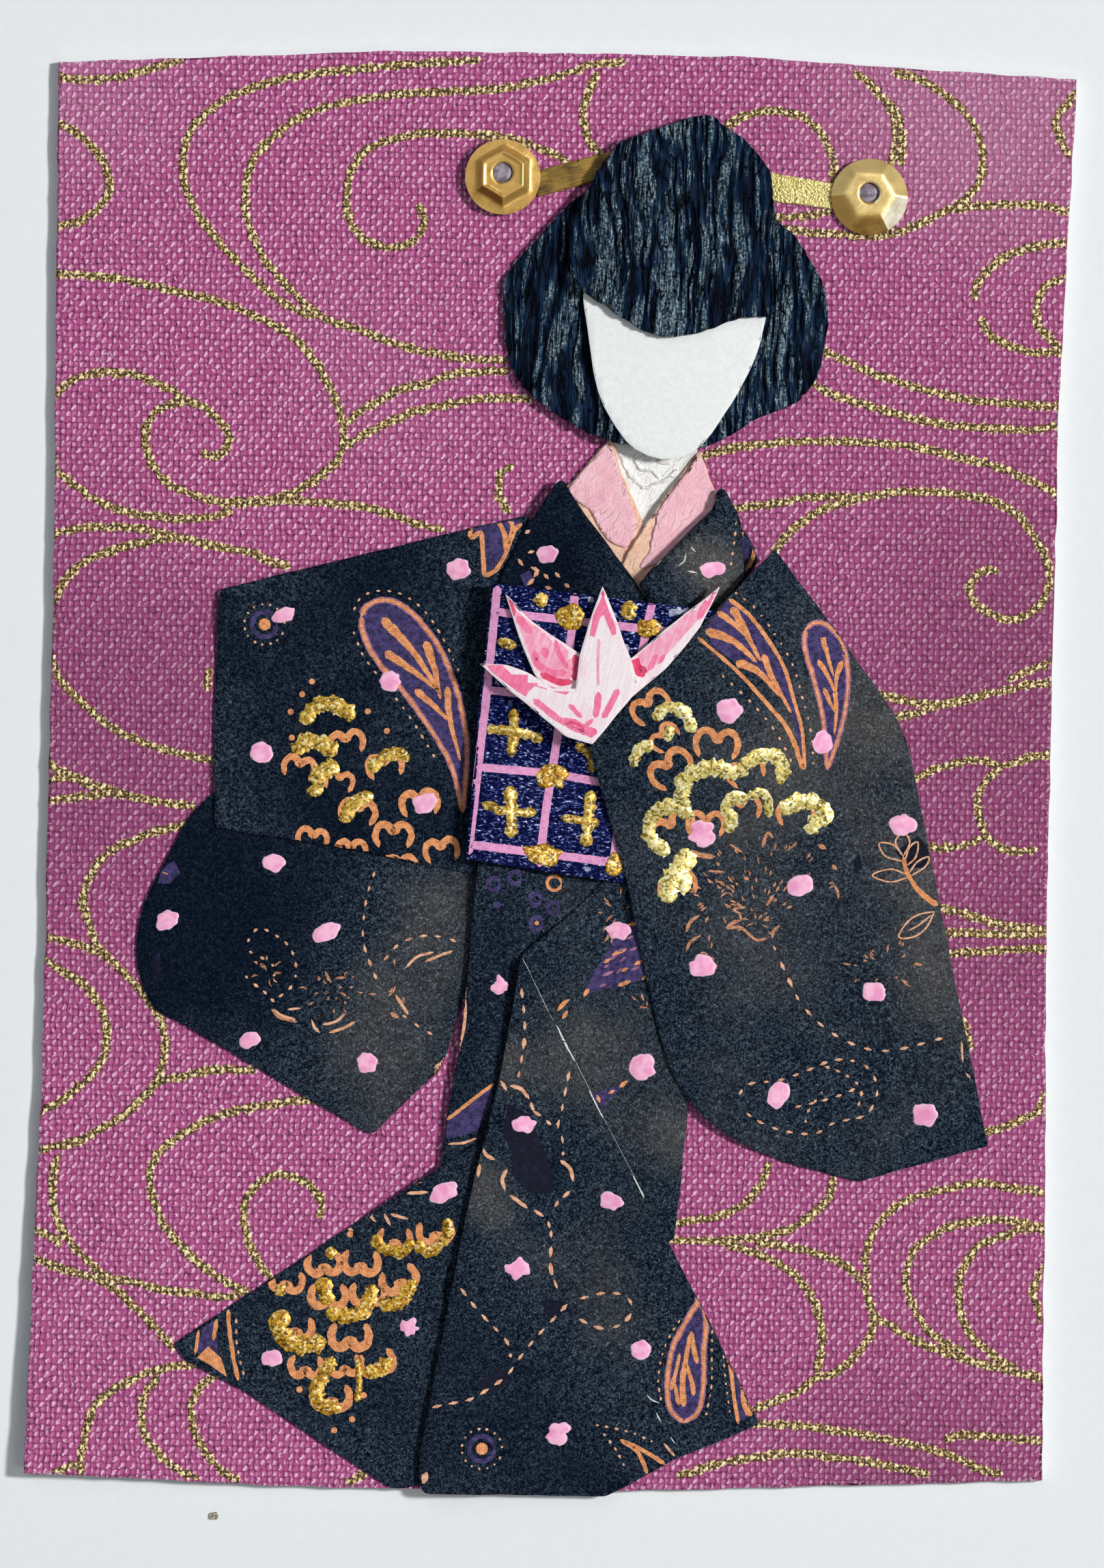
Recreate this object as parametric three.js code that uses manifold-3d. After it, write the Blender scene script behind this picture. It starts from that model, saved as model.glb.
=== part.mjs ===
import * as THREE from "three";
import { mergeVertices } from "three/addons/utils/BufferGeometryUtils.js";
import Module from "manifold-3d";

// A Japanese paper doll: a kimono figure cut and folded from patterned paper, glued flat on a
// small card that is covered with printed cotton cloth. Sizes are millimetres. The card lies on
// its back: +X is the viewer's right, +Y runs towards the head, +Z points out of the picture,
// and the origin is the middle of the card's back face.

// Card and cloth
const cardWidth = 63.3;
const cardHeight = 87.6;
const cardLean = 0.8; // the top edge sits this far to the right of the bottom edge
const cardTopBow = 1.1; // hand-cut edges bulge outwards, most at a share of the width
const cardTopBowAt = 0.5;
const cardBottomBow = 0.9;
const cardBottomBowAt = 0.42;
const cardLeftBow = 0.5; // the long sides are hollow, most at a share of the height
const cardLeftBowAt = 0.38;
const cardRightBow = 0.6;
const cardRightBowAt = 0.7;
const cardTaper = 0.5; // the right side is cut shorter than the left, half at each corner
const boardThickness = 0.6;
const clothThickness = 0.3;
const cornerLift = 0.9; // the card curls up at its lower left corner
const cornerCurlReach = 34;

// Papers
const glueLine = 0.06;
const kimonoPaper = 0.24;
const washiPaper = 0.16;
const goldPaper = 0.2;
const flowerCard = 0.3;
const faceCard = 0.32;
const crepePaper = 0.5;
const obiThickness = 0.45;
const foldAir = 0.12; // hollow left inside a folded edge
const foldTurnIn = 2.4; // width of the layer turned under at a fold
const sleeveCrown = 0.3; // how far the middle of a sheet stands off the pile
const skirtCrown = 0.2;
const neckCrown = 0.15;
const crownReach = 3; // distance from the edge over which it rises

// Waist: the lower left corner of the sash, measured from the card's lower left corner
const waistFromLeft = 26.5;
const waistFromBottom = 37.35;

// Sash
const obiWidth = 15.3;
const obiHeight = 18.6;

// Upper body
const bodiceLeftWidth = 9.7;
const bodiceLeftHeight = 9.7;
const bodiceInset = 1.6; // the bodice starts this far inside the sash's left edge
const bodiceTuck = 3.2; // length hidden behind the sash
const bodiceRightWidth = 6.6;
const bodiceRightHeight = 8.3;
const bodiceRightTuck = 2.1;
const bodiceLap = 0.9; // the two sides cross this far
const backPanelWidth = 15.6;
const backPanelHeight = 5.2;
const backPanelTuck = 1.5;
const backPanelInset = 0.7;

// Collars and neck
const neckWidth = 5.7;
const neckHeight = 13.2;
const neckTuck = 2.9;
const neckFromBodice = 6.7;
const collarLeftWidth = 5.1;
const collarLeftHeight = 8.1;
const collarRise = 4.1; // the collar's lower tip above the foot of the bodice
const collarFromBodice = 4.2;
const pinkLeftWidth = 4.25;
const pinkLeftHeight = 6.5;
const pinkLeftShift = 0.25; // width of the peach band left bare
const pinkLeftRise = 1.4;
const collarRightWidth = 6.3;
const collarRightHeight = 9.7;
const collarRightDrop = 2.2;
const collarCrossing = 1.7;
const pinkRightWidth = 4.65;
const pinkRightHeight = 7.1;
const pinkRightShift = 1.3;
const pinkRightRise = 2.4;
const liningWidth = 5.5;
const liningHeight = 6.1;
const liningShow = 0.2;
const liningRise = 2.1;

// Sleeves
const sleeveUpperWidth = 19.4;
const sleeveUpperHeight = 22.4;
const sleeveUpperTuck = 2.0; // length hidden behind the bodice
const sleeveUpperRise = 4.3; // shoulder above the top of the sash
const sleeveLowerWidth = 22.2;
const sleeveLowerHeight = 21.1;
const sleeveLowerOut = 4.7;
const sleeveLowerTuck = 4.8;
const sleeveRightWidth = 25.2;
const sleeveRightHeight = 39.2;
const sleeveRightInset = 7.5; // its front corner lies this far inside the sash
const sleeveRightRise = 2.4;

// Skirt
const skirtBackWidth = 10.9;
const skirtBackHeight = 21.7;
const skirtBackOut = 1.5;
const skirtBackTuck = 1.8;
const skirtTrainWidth = 20.3;
const skirtTrainHeight = 22.5;
const skirtTrainOut = 17.7;
const skirtTrainDrop = 15.2; // upper corner below the sash
const skirtSideWidth = 10.6;
const skirtSideHeight = 23.8;
const skirtSideInset = 3.4;
const skirtSideTuck = 1.1;
const skirtFrontWidth = 21.2;
const skirtFrontHeight = 33.5;
const skirtFrontOut = 2.4;
const skirtFrontDrop = 4.5;

// Sash flower
const flowerFrontWidth = 9.9;
const flowerFrontHeight = 9.8;
const flowerBackWidth = 13.3;
const flowerBackHeight = 9.1;
const flowerFromLeft = 0.7;
const flowerFromFoot = 8.7;
const petalShift = 1.5;
const petalRise = 0.8;

// Head
const hairBackWidth = 20.4;
const hairBackHeight = 16.8;
const headTuck = 1.8; // the head overlaps the top of the neck
const headShift = 0.8;
const faceWidth = 11.5;
const faceHeight = 13.1;
const chinDrop = 0.8;
const faceInset = 4.9;
const hairFrontWidth = 12.9;
const hairFrontHeight = 13.9;
const fringeRise = 7.7; // tip of the fringe above the chin
const hairFrontInset = 4.0;

// Hair ornaments
const pinLeftWidth = 5.3;
const pinLeftHeight = 3.0;
const pinLeftReach = 2.1; // how far the strip stands out from the crown
const pinLeftRise = 8.7;
const pinRightWidth = 5.9;
const pinRightHeight = 2.4;
const pinRightReach = 4.8;
const pinRightRise = 8.1;
const sequinDiameter = 4.75;
const sequinHole = 1.25;
const sequinHoleShift = 0.25;
const sequinPlateau = 3.05; // across the corners of the hexagon
const sequinDepth = 0.55;
const sequinWall = 0.12;
const rimRise = 0.8; // the rim's slope is this much flatter than the cup's
const sequinFacets = 6;
const sequinSteps = 3; // faces along one side of the hexagon
const leftFlange = 0.7; // share of the slope that is cupped, the rest is a flatter rim
const rightFlange = 0.5;
const sequinLeftLap = 0.35; // the sequin covers this much of the strip's end
const sequinRightLap = 1.4;
const sequinLeftRise = 1.17; // its centre above the foot of the strip
const sequinRightRise = 0.89;

const wasm = await Module();
wasm.setup();

// Closed solids from three.js geometry and back
function solidFrom(geometry) {
  geometry.deleteAttribute("normal");
  geometry.deleteAttribute("uv");
  const merged = mergeVertices(geometry, 1e-5);
  return new wasm.Manifold(
    new wasm.Mesh({
      numProp: 3,
      vertProperties: merged.attributes.position.array,
      triVerts: new Uint32Array(merged.index.array),
    }),
  );
}

function geometryFrom(solid) {
  const mesh = solid.getMesh();
  const geometry = new THREE.BufferGeometry();
  geometry.setAttribute("position", new THREE.BufferAttribute(mesh.vertProperties, 3));
  geometry.setIndex(new THREE.BufferAttribute(mesh.triVerts, 1));
  geometry.computeVertexNormals();
  return geometry;
}

// The box that a piece is cut from: lower left corner, width and height
function box(x, y, width, height) {
  return { x, y, width, height, right: x + width, top: y + height };
}

// A hand-cut outline. Corners are in percent of the piece's box, and a third number rounds the
// corner by that many millimetres.
const cutRadius = 0.25;
function cut(piece, corners) {
  const points = corners.map(
    ([across, up]) =>
      new THREE.Vector2(
        piece.x + (across / 100) * piece.width,
        piece.y + (up / 100) * piece.height,
      ),
  );
  const shape = new THREE.Shape();
  corners.forEach(([, , radius = cutRadius], i) => {
    const here = points[i];
    const before = points[(i + points.length - 1) % points.length];
    const after = points[(i + 1) % points.length];
    const start = here.clone().lerp(before, Math.min(radius / here.distanceTo(before), 0.45));
    const end = here.clone().lerp(after, Math.min(radius / here.distanceTo(after), 0.45));
    if (i === 0) shape.moveTo(start.x, start.y);
    else shape.lineTo(start.x, start.y);
    if (radius > 0) shape.quadraticCurveTo(here.x, here.y, end.x, end.y);
  });
  shape.closePath();
  return { shape, points };
}

// The pile of papers so far, as a height over each point of one common grid. Sheets share the
// grid, so a sheet that clears the pile at the grid's points clears it everywhere.
const gridStep = 1.1;
const pile = new Map();
const keyStride = 4096;
const key = (i, j) => i * keyStride + j;
const heightAt = (i, j) => pile.get(key(i, j)) ?? 0;

function distanceToLine(x, y, a, b) {
  const length2 = Math.max(a.distanceToSquared(b), 1e-9);
  const t = ((x - a.x) * (b.x - a.x) + (y - a.y) * (b.y - a.y)) / length2;
  const s = Math.min(1, Math.max(0, t));
  return Math.hypot(x - a.x - s * (b.x - a.x), y - a.y - s * (b.y - a.y));
}

function isInside(x, y, outline) {
  let inside = false;
  outline.forEach((a, n) => {
    const b = outline[(n + 1) % outline.length];
    if (a.y > y !== b.y > y && x < ((b.x - a.x) * (y - a.y)) / (b.y - a.y) + a.x) inside = !inside;
  });
  return inside;
}

function distanceToEdge(x, y, outline) {
  return Math.min(
    ...outline.map((a, n) => distanceToLine(x, y, a, outline[(n + 1) % outline.length])),
  );
}

// Grid points of every cell that the outline covers or crosses
const edgeStep = 0.05;
function coveredPoints(outline) {
  const cells = new Set();
  const mark = (x, y) => cells.add(key(Math.floor(x / gridStep), Math.floor(y / gridStep)));
  outline.forEach((a, n) => {
    const b = outline[(n + 1) % outline.length];
    const steps = Math.ceil(a.distanceTo(b) / edgeStep);
    for (let s = 0; s <= steps; s++)
      mark(a.x + ((b.x - a.x) * s) / steps, a.y + ((b.y - a.y) * s) / steps);
  });
  const xs = outline.map((p) => p.x);
  const ys = outline.map((p) => p.y);
  const range = {
    left: Math.floor(Math.min(...xs) / gridStep),
    right: Math.ceil(Math.max(...xs) / gridStep),
    bottom: Math.floor(Math.min(...ys) / gridStep),
    top: Math.ceil(Math.max(...ys) / gridStep),
  };
  const points = new Map();
  for (let i = range.left; i < range.right; i++)
    for (let j = range.bottom; j < range.top; j++) {
      const middleInside = isInside((i + 0.5) * gridStep, (j + 0.5) * gridStep, outline);
      if (!cells.has(key(i, j)) && !middleInside) continue;
      for (const [di, dj] of [[0, 0], [1, 0], [0, 1], [1, 1]])
        points.set(key(i + di, j + dj), [i + di, j + dj]);
    }
  return { range, points };
}

// A closed slab over the grid between two height functions of a grid point
function slab(range, underside, topside) {
  const columns = range.right - range.left + 1;
  const rows = range.top - range.bottom + 1;
  const layer = columns * rows;
  const positions = [];
  for (const height of [underside, topside])
    for (let j = range.bottom; j <= range.top; j++)
      for (let i = range.left; i <= range.right; i++)
        positions.push(i * gridStep, j * gridStep, height(i, j));
  const index = [];
  const at = (c, r, level) => level * layer + r * columns + c;
  for (let r = 0; r < rows - 1; r++)
    for (let c = 0; c < columns - 1; c++) {
      index.push(at(c, r, 1), at(c + 1, r, 1), at(c + 1, r + 1, 1));
      index.push(at(c, r, 1), at(c + 1, r + 1, 1), at(c, r + 1, 1));
      index.push(at(c, r, 0), at(c + 1, r + 1, 0), at(c + 1, r, 0));
      index.push(at(c, r, 0), at(c, r + 1, 0), at(c + 1, r + 1, 0));
    }
  const wall = (c1, r1, c2, r2) => {
    index.push(at(c1, r1, 0), at(c2, r2, 0), at(c2, r2, 1));
    index.push(at(c1, r1, 0), at(c2, r2, 1), at(c1, r1, 1));
  };
  for (let c = 0; c < columns - 1; c++) {
    wall(c, 0, c + 1, 0);
    wall(c + 1, rows - 1, c, rows - 1);
  }
  for (let r = 0; r < rows - 1; r++) {
    wall(columns - 1, r, columns - 1, r + 1);
    wall(0, r + 1, 0, r);
  }
  const geometry = new THREE.BufferGeometry();
  geometry.setAttribute("position", new THREE.Float32BufferAttribute(positions, 3));
  geometry.setIndex(index);
  return solidFrom(geometry);
}

const doll = new THREE.Group();

function addPiece(name, geometry, finish) {
  const mesh = new THREE.Mesh(geometry, new THREE.MeshStandardMaterial(finish));
  mesh.name = name;
  doll.add(mesh);
}

// Lays a cut sheet on the pile. It bends no tighter than bendRadius, so it bridges the steps
// below it, rises by crown away from its edges, and is thicker where an edge is folded under.
// Facets closer to flat than flatness merge into one.
const pileClearance = 20;
function laySheet(name, outline, thickness, bendRadius, finish, options = {}) {
  const { crown = 0, folds = [], support = null, flatness = 0.02 } = options;
  const edge = outline.shape.getPoints(3);
  const { range, points } = coveredPoints(edge);
  const covered = [...points.values()];
  const undersides = new Map();
  const underside = (i, j) => {
    if (support) return support(i * gridStep, j * gridStep);
    if (undersides.has(key(i, j))) return undersides.get(key(i, j));
    let height = 0;
    for (const [ci, cj] of covered) {
      const away = Math.hypot(ci - i, cj - j) * gridStep;
      height = Math.max(height, heightAt(ci, cj) - (away * away) / (2 * bendRadius));
    }
    const x = i * gridStep;
    const y = j * gridStep;
    if (crown > 0 && isInside(x, y, edge))
      height += crown * (1 - Math.exp(-distanceToEdge(x, y, edge) / crownReach));
    undersides.set(key(i, j), height + glueLine);
    return height + glueLine;
  };
  const topside = (i, j) => {
    let extra = 0;
    for (const [from, to] of folds) {
      const away = distanceToLine(
        i * gridStep, j * gridStep, outline.points[from], outline.points[to],
      );
      const share = Math.min(1, Math.max(0, (foldTurnIn + gridStep - away) / gridStep));
      extra = Math.max(extra, share * (thickness + foldAir));
    }
    return underside(i, j) + thickness + extra;
  };
  const blank = new THREE.ExtrudeGeometry(outline.shape, {
    depth: 2 * pileClearance,
    bevelEnabled: false,
    curveSegments: 3,
  }).translate(0, 0, -pileClearance);
  const sheet = slab(range, underside, topside).intersect(solidFrom(blank)).simplify(flatness);
  for (const [at, [i, j]] of points) pile.set(at, Math.max(heightAt(i, j), topside(i, j)));
  addPiece(name, geometryFrom(sheet), finish);
}

// Bending radii: soft paper follows the pile, card and glued crepe bridge it
const softBend = 12;
const firmBend = 30;
const stiffBend = 50;

// Finishes
const blackPrint = { color: 0x24282c, roughness: 0.75, metalness: 0 };
const clothFinish = { color: 0xb04e8b, roughness: 0.9, metalness: 0 };
const boardFinish = { color: 0xe9e6df, roughness: 0.85, metalness: 0 };
const goldFinish = { color: 0xb98f35, roughness: 0.35, metalness: 1 };
const washiFinish = { color: 0xefeeea, roughness: 0.9, metalness: 0 };
const peachFinish = { color: 0xe5b59a, roughness: 0.9, metalness: 0 };
const pinkFinish = { color: 0xecabbd, roughness: 0.9, metalness: 0 };
const obiFinish = { color: 0x1c2350, roughness: 0.6, metalness: 0 };
const flowerFinish = { color: 0xf3d5de, roughness: 0.7, metalness: 0 };
const faceFinish = { color: 0xf0f2f2, roughness: 0.6, metalness: 0 };
const hairFinish = { color: 0x1c272c, roughness: 0.5, metalness: 0 };
const sequinFinish = { color: 0xc79b3c, roughness: 0.22, metalness: 1 };

// Card: a hand-cut board with bowed ends and hollow sides, flat apart from its curled corner
const card = box(-cardWidth / 2, -cardHeight / 2, cardWidth, cardHeight);
const cornerX = card.x - cardLean / 2;
const cornerY = card.y - cardBottomBow / 2;
function curl(x, y) {
  const away = Math.hypot(x - cornerX, y - cornerY);
  const share = Math.max(0, 1 - away / cornerCurlReach);
  return cornerLift * share * share;
}
function cardOutline() {
  const lean = cardLean / 2;
  const taper = cardTaper / 2;
  const corners = [
    new THREE.Vector2(card.x - lean, card.y - taper),
    new THREE.Vector2(card.right - lean, card.y + taper),
    new THREE.Vector2(card.right + lean, card.top - taper),
    new THREE.Vector2(card.x + lean, card.top - taper / 2),
  ];
  const [lowerLeft, lowerRight, upperRight, upperLeft] = corners;
  const shape = new THREE.Shape();
  shape.moveTo(lowerLeft.x, lowerLeft.y);
  shape.quadraticCurveTo(
    card.x + cardWidth * cardBottomBowAt, card.y - 2 * cardBottomBow, lowerRight.x, lowerRight.y,
  );
  shape.quadraticCurveTo(
    card.right - 2 * cardRightBow, card.y + cardHeight * cardRightBowAt, upperRight.x, upperRight.y,
  );
  shape.quadraticCurveTo(
    card.x + cardWidth * cardTopBowAt, card.top + 2 * cardTopBow, upperLeft.x, upperLeft.y,
  );
  shape.quadraticCurveTo(
    card.x + 2 * cardLeftBow, card.y + cardHeight * cardLeftBowAt, lowerLeft.x, lowerLeft.y,
  );
  return { shape, points: corners };
}

const board = cardOutline();
laySheet("card_board", board, boardThickness, softBend, boardFinish, {
  support: (x, y) => curl(x, y), flatness: 0.003,
});

// Cloth: plain-weave cotton glued over the front of the board and cut flush with it
laySheet("cloth_cover", board, clothThickness, softBend, clothFinish, {
  support: (x, y) => curl(x, y) + boardThickness + glueLine, flatness: 0.003,
});

// Waist and body boxes, each placed from the piece that it is joined to
const obiBox = box(
  card.x + waistFromLeft, card.y + waistFromBottom - cardTaper, obiWidth, obiHeight,
);
const bodiceLeftBox = box(
  obiBox.x + bodiceInset, obiBox.top - bodiceTuck, bodiceLeftWidth, bodiceLeftHeight,
);
const bodiceRightBox = box(
  bodiceLeftBox.right - bodiceLap,
  obiBox.top - bodiceRightTuck,
  bodiceRightWidth,
  bodiceRightHeight,
);
const neckBox = box(
  bodiceLeftBox.x + neckFromBodice, obiBox.top - neckTuck, neckWidth, neckHeight,
);
const hairBackBox = box(
  neckBox.x + neckWidth / 2 + headShift - hairBackWidth / 2,
  neckBox.top - headTuck,
  hairBackWidth,
  hairBackHeight,
);
const faceBox = box(
  hairBackBox.x + faceInset, hairBackBox.y - chinDrop, faceWidth, faceHeight,
);
const hairFrontBox = box(
  hairBackBox.x + hairFrontInset, faceBox.y + fringeRise, hairFrontWidth, hairFrontHeight,
);

// Hairpins: two strips of gold paper whose inner ends go behind the crown
const pinLeftBox = box(
  hairFrontBox.x - pinLeftReach, hairFrontBox.y + pinLeftRise, pinLeftWidth, pinLeftHeight,
);
laySheet(
  "hairpin_left",
  cut(pinLeftBox, [[0, 52], [35, 70], [70, 88], [100, 100], [100, 55], [59, 26], [30, 11], [2, 0]]),
  goldPaper, softBend, goldFinish,
);
const pinRightBox = box(
  hairFrontBox.right + pinRightReach - pinRightWidth,
  hairFrontBox.y + pinRightRise,
  pinRightWidth,
  pinRightHeight,
);
laySheet(
  "hairpin_right",
  cut(pinRightBox, [[0, 100], [20, 95], [60, 78], [100, 62], [100, 0], [66, 8], [32, 16], [0, 26]]),
  goldPaper, softBend, goldFinish,
);

// Neck: a strip of white washi that runs down behind the collars to the sash
laySheet(
  "neck_strip",
  cut(neckBox, [[0, 0], [96, 0], [100, 100], [2, 100]]),
  washiPaper, softBend, washiFinish, { crown: neckCrown },
);

// Back of the kimono, which shows past the right shoulder
laySheet(
  "kimono_back",
  cut(box(bodiceLeftBox.x + backPanelInset, obiBox.top - backPanelTuck, backPanelWidth, backPanelHeight),
    [[8, 99], [94, 100, 0.6], [99, 71, 0.6], [100, 60], [94, 37], [87, 0], [0, 22]]),
  kimonoPaper, softBend, blackPrint,
);

// Left sleeve: the hanging lower part first, then the upper part over it
const sleeveUpperBox = box(
  bodiceLeftBox.x + sleeveUpperTuck - sleeveUpperWidth,
  obiBox.top + sleeveUpperRise - sleeveUpperHeight,
  sleeveUpperWidth,
  sleeveUpperHeight,
);
laySheet(
  "sleeve_left_lower",
  cut(
    box(
      sleeveUpperBox.x - sleeveLowerOut,
      sleeveUpperBox.y + sleeveLowerTuck - sleeveLowerHeight,
      sleeveLowerWidth,
      sleeveLowerHeight,
    ),
    [
      [21, 100], [15, 94, 1], [6, 76, 2], [1, 64, 2], [0, 50, 3], [5, 36, 3], [12, 33, 1],
      [67, 0, 0.5], [87, 21, 1], [96, 57], [100, 100],
    ],
  ),
  kimonoPaper, softBend, blackPrint, { crown: sleeveCrown },
);
laySheet(
  "sleeve_left_upper",
  cut(sleeveUpperBox, [
    [1, 78, 0.5], [81, 96], [100, 100], [97, 82], [85, 0], [41, 7], [1, 12], [0, 45],
  ]),
  kimonoPaper, softBend, blackPrint, { folds: [[0, 1]] },
);

// Skirt: back panel, train and side panel, then the front flap with its folded left edge
laySheet(
  "skirt_back",
  cut(
    box(
      obiBox.x - skirtBackOut,
      obiBox.y + skirtBackTuck - skirtBackHeight,
      skirtBackWidth,
      skirtBackHeight,
    ),
    [[21, 100], [16, 67], [11, 42], [5, 25], [0, 0], [47, 0], [100, 52], [100, 99]],
  ),
  kimonoPaper, softBend, blackPrint, { crown: skirtCrown, folds: [[0, 1], [1, 2], [2, 3], [3, 4]] },
);
laySheet(
  "skirt_train",
  cut(
    box(
      obiBox.x - skirtTrainOut,
      obiBox.y - skirtTrainDrop - skirtTrainHeight,
      skirtTrainWidth,
      skirtTrainHeight,
    ),
    [[0, 39], [92, 96], [100, 100], [92, 53], [81, 3], [72, 0, 0.8], [67, 0], [22, 26], [3, 35]],
  ),
  kimonoPaper, softBend, blackPrint,
);
laySheet(
  "skirt_side",
  cut(
    box(
      obiBox.x + skirtSideInset,
      obiBox.y + skirtSideTuck - skirtSideHeight,
      skirtSideWidth,
      skirtSideHeight,
    ),
    [
      [57, 100], [46, 95], [31, 88], [2, 77], [0, 60], [17, 41], [75, 0], [93, 3], [97, 18],
      [100, 38], [92, 77], [83, 100],
    ],
  ),
  kimonoPaper, softBend, blackPrint, { crown: skirtCrown, folds: [[7, 8], [8, 9], [9, 10]] },
);
laySheet(
  "skirt_front",
  cut(
    box(
      obiBox.x - skirtFrontOut,
      obiBox.y - skirtFrontDrop - skirtFrontHeight,
      skirtFrontWidth,
      skirtFrontHeight,
    ),
    [
      [28, 100], [22, 76, 3], [17, 64, 2], [12, 49, 2], [0, 6, 1], [1, 0, 0.6], [12, 0],
      [55, 0, 0.2], [61, 2], [75, 7], [87, 10], [100, 14], [82, 36, 2], [54, 69, 2],
    ],
  ),
  kimonoPaper, softBend, blackPrint,
  { crown: skirtCrown, folds: [[0, 1], [1, 2], [2, 3], [3, 4]] },
);

// Under-kimono collars: peach washi with a torn band of pink washi on top, right over left
const collarLeftBox = box(
  bodiceLeftBox.x + collarFromBodice,
  bodiceLeftBox.y + collarRise,
  collarLeftWidth,
  collarLeftHeight,
);
laySheet(
  "collar_left_peach",
  cut(collarLeftBox, [
    [51, 100], [59, 100], [64, 82], [100, 31], [91, 21], [68, 0], [36, 24], [4, 53], [0, 61], [15, 73],
  ]),
  washiPaper, softBend, peachFinish,
);
laySheet(
  "collar_left_pink",
  cut(
    box(
      collarLeftBox.x + pinkLeftShift, collarLeftBox.y + pinkLeftRise, pinkLeftWidth, pinkLeftHeight,
    ),
    [
      [54, 100], [59, 97], [68, 80], [82, 58], [92, 41], [100, 25], [95, 9], [86, 0], [69, 4], [52, 13],
      [39, 27], [31, 37], [19, 43], [6, 49], [0, 56], [15, 70],
    ],
  ),
  washiPaper, softBend, pinkFinish,
);
const collarRightBox = box(
  collarLeftBox.right - collarCrossing,
  collarLeftBox.y - collarRightDrop,
  collarRightWidth,
  collarRightHeight,
);
laySheet(
  "collar_right_peach",
  cut(collarRightBox, [
    [79, 100], [75, 99], [22, 49], [0, 23], [19, 6], [34, 0], [21, 14], [46, 31], [93, 65], [95, 73],
    [83, 94],
  ]),
  washiPaper, softBend, peachFinish,
);
laySheet(
  "collar_right_pink",
  cut(
    box(
      collarRightBox.x + pinkRightShift,
      collarRightBox.y + pinkRightRise,
      pinkRightWidth,
      pinkRightHeight,
    ),
    [
      [78, 100], [73, 96], [23, 50], [21, 38], [14, 23], [15, 17], [0, 0], [28, 6], [97, 53], [100, 65],
      [92, 79], [84, 92],
    ],
  ),
  washiPaper, softBend, pinkFinish,
);

// Kimono fronts: the left one, then the right one with its pink lining strip
laySheet(
  "bodice_left",
  cut(bodiceLeftBox, [
    [38, 99], [42, 100], [48, 89], [100, 21], [100, 0], [0, 10], [4, 39], [12, 55], [20, 71], [30, 86],
  ]),
  kimonoPaper, softBend, blackPrint, { folds: [[2, 3]] },
);
laySheet(
  "lining_right",
  cut(
    box(
      bodiceRightBox.x + liningShow, bodiceRightBox.y + liningRise, liningWidth, liningHeight,
    ),
    [[90, 93], [100, 100], [99, 90], [85, 70], [65, 50], [26, 12], [8, 0], [0, 2], [14, 18]],
  ),
  washiPaper, softBend, pinkFinish,
);
laySheet(
  "bodice_right",
  cut(bodiceRightBox, [
    [72, 98, 0.5], [80, 100, 0.4], [95, 77], [98, 63], [100, 33], [74, 7], [41, 0], [15, 8], [0, 26],
    [14, 39], [70, 85],
  ]),
  kimonoPaper, softBend, blackPrint, { folds: [[9, 10]] },
);

// Sash: stiff navy paper whose left end is folded under
laySheet(
  "obi",
  cut(obiBox, [[9, 100, 0], [100, 92, 0], [87, 46], [71, 0], [32, 4], [0, 8, 0], [4, 56]]),
  obiThickness, firmBend, obiFinish, { folds: [[0, 6], [6, 5]] },
);

// Right sleeve: one large sheet over the sash, the bodice and the skirt
const sleeveRightBox = box(
  obiBox.x + sleeveRightInset,
  obiBox.top + sleeveRightRise - sleeveRightHeight,
  sleeveRightWidth,
  sleeveRightHeight,
);
laySheet(
  "sleeve_right",
  cut(sleeveRightBox, [
    [45, 100, 0.2], [0, 68.5, 0.2], [10, 47], [15, 32, 2], [21, 17, 2], [30, 9, 2], [46, 3.5, 2],
    [68, 0, 0.2], [100, 6, 0.2], [96, 18], [83, 57, 3], [78, 72, 2], [62, 86, 2],
  ]),
  kimonoPaper, softBend, blackPrint, { crown: sleeveCrown, folds: [[8, 9], [9, 10], [10, 11]] },
);

// Sash flower: two petals behind, two in front
const flowerFrontBox = box(
  obiBox.x + flowerFromLeft, obiBox.y + flowerFromFoot, flowerFrontWidth, flowerFrontHeight,
);
laySheet(
  "flower_back",
  cut(
    box(
      flowerFrontBox.x + petalShift, flowerFrontBox.y + petalRise, flowerBackWidth, flowerBackHeight,
    ),
    [
      [0, 93, 0], [4, 74], [9, 55], [14, 39], [23, 21], [39, 0], [63, 28], [76, 44], [91, 72],
      [100, 100, 0], [75, 71], [59, 50], [43, 43], [36, 52], [25, 62], [11, 76],
    ],
  ),
  flowerCard, stiffBend, flowerFinish,
);
laySheet(
  "flower_front",
  cut(flowerFrontBox, [
    [0, 50, 0], [16, 50], [31, 44], [45, 35, 0], [60, 35, 0], [62, 56], [67, 75], [76, 100, 0],
    [94, 55], [100, 37], [87, 20], [71, 0, 0.1], [54, 5], [38, 18], [8, 42],
  ]),
  flowerCard, stiffBend, flowerFinish,
);

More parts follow.
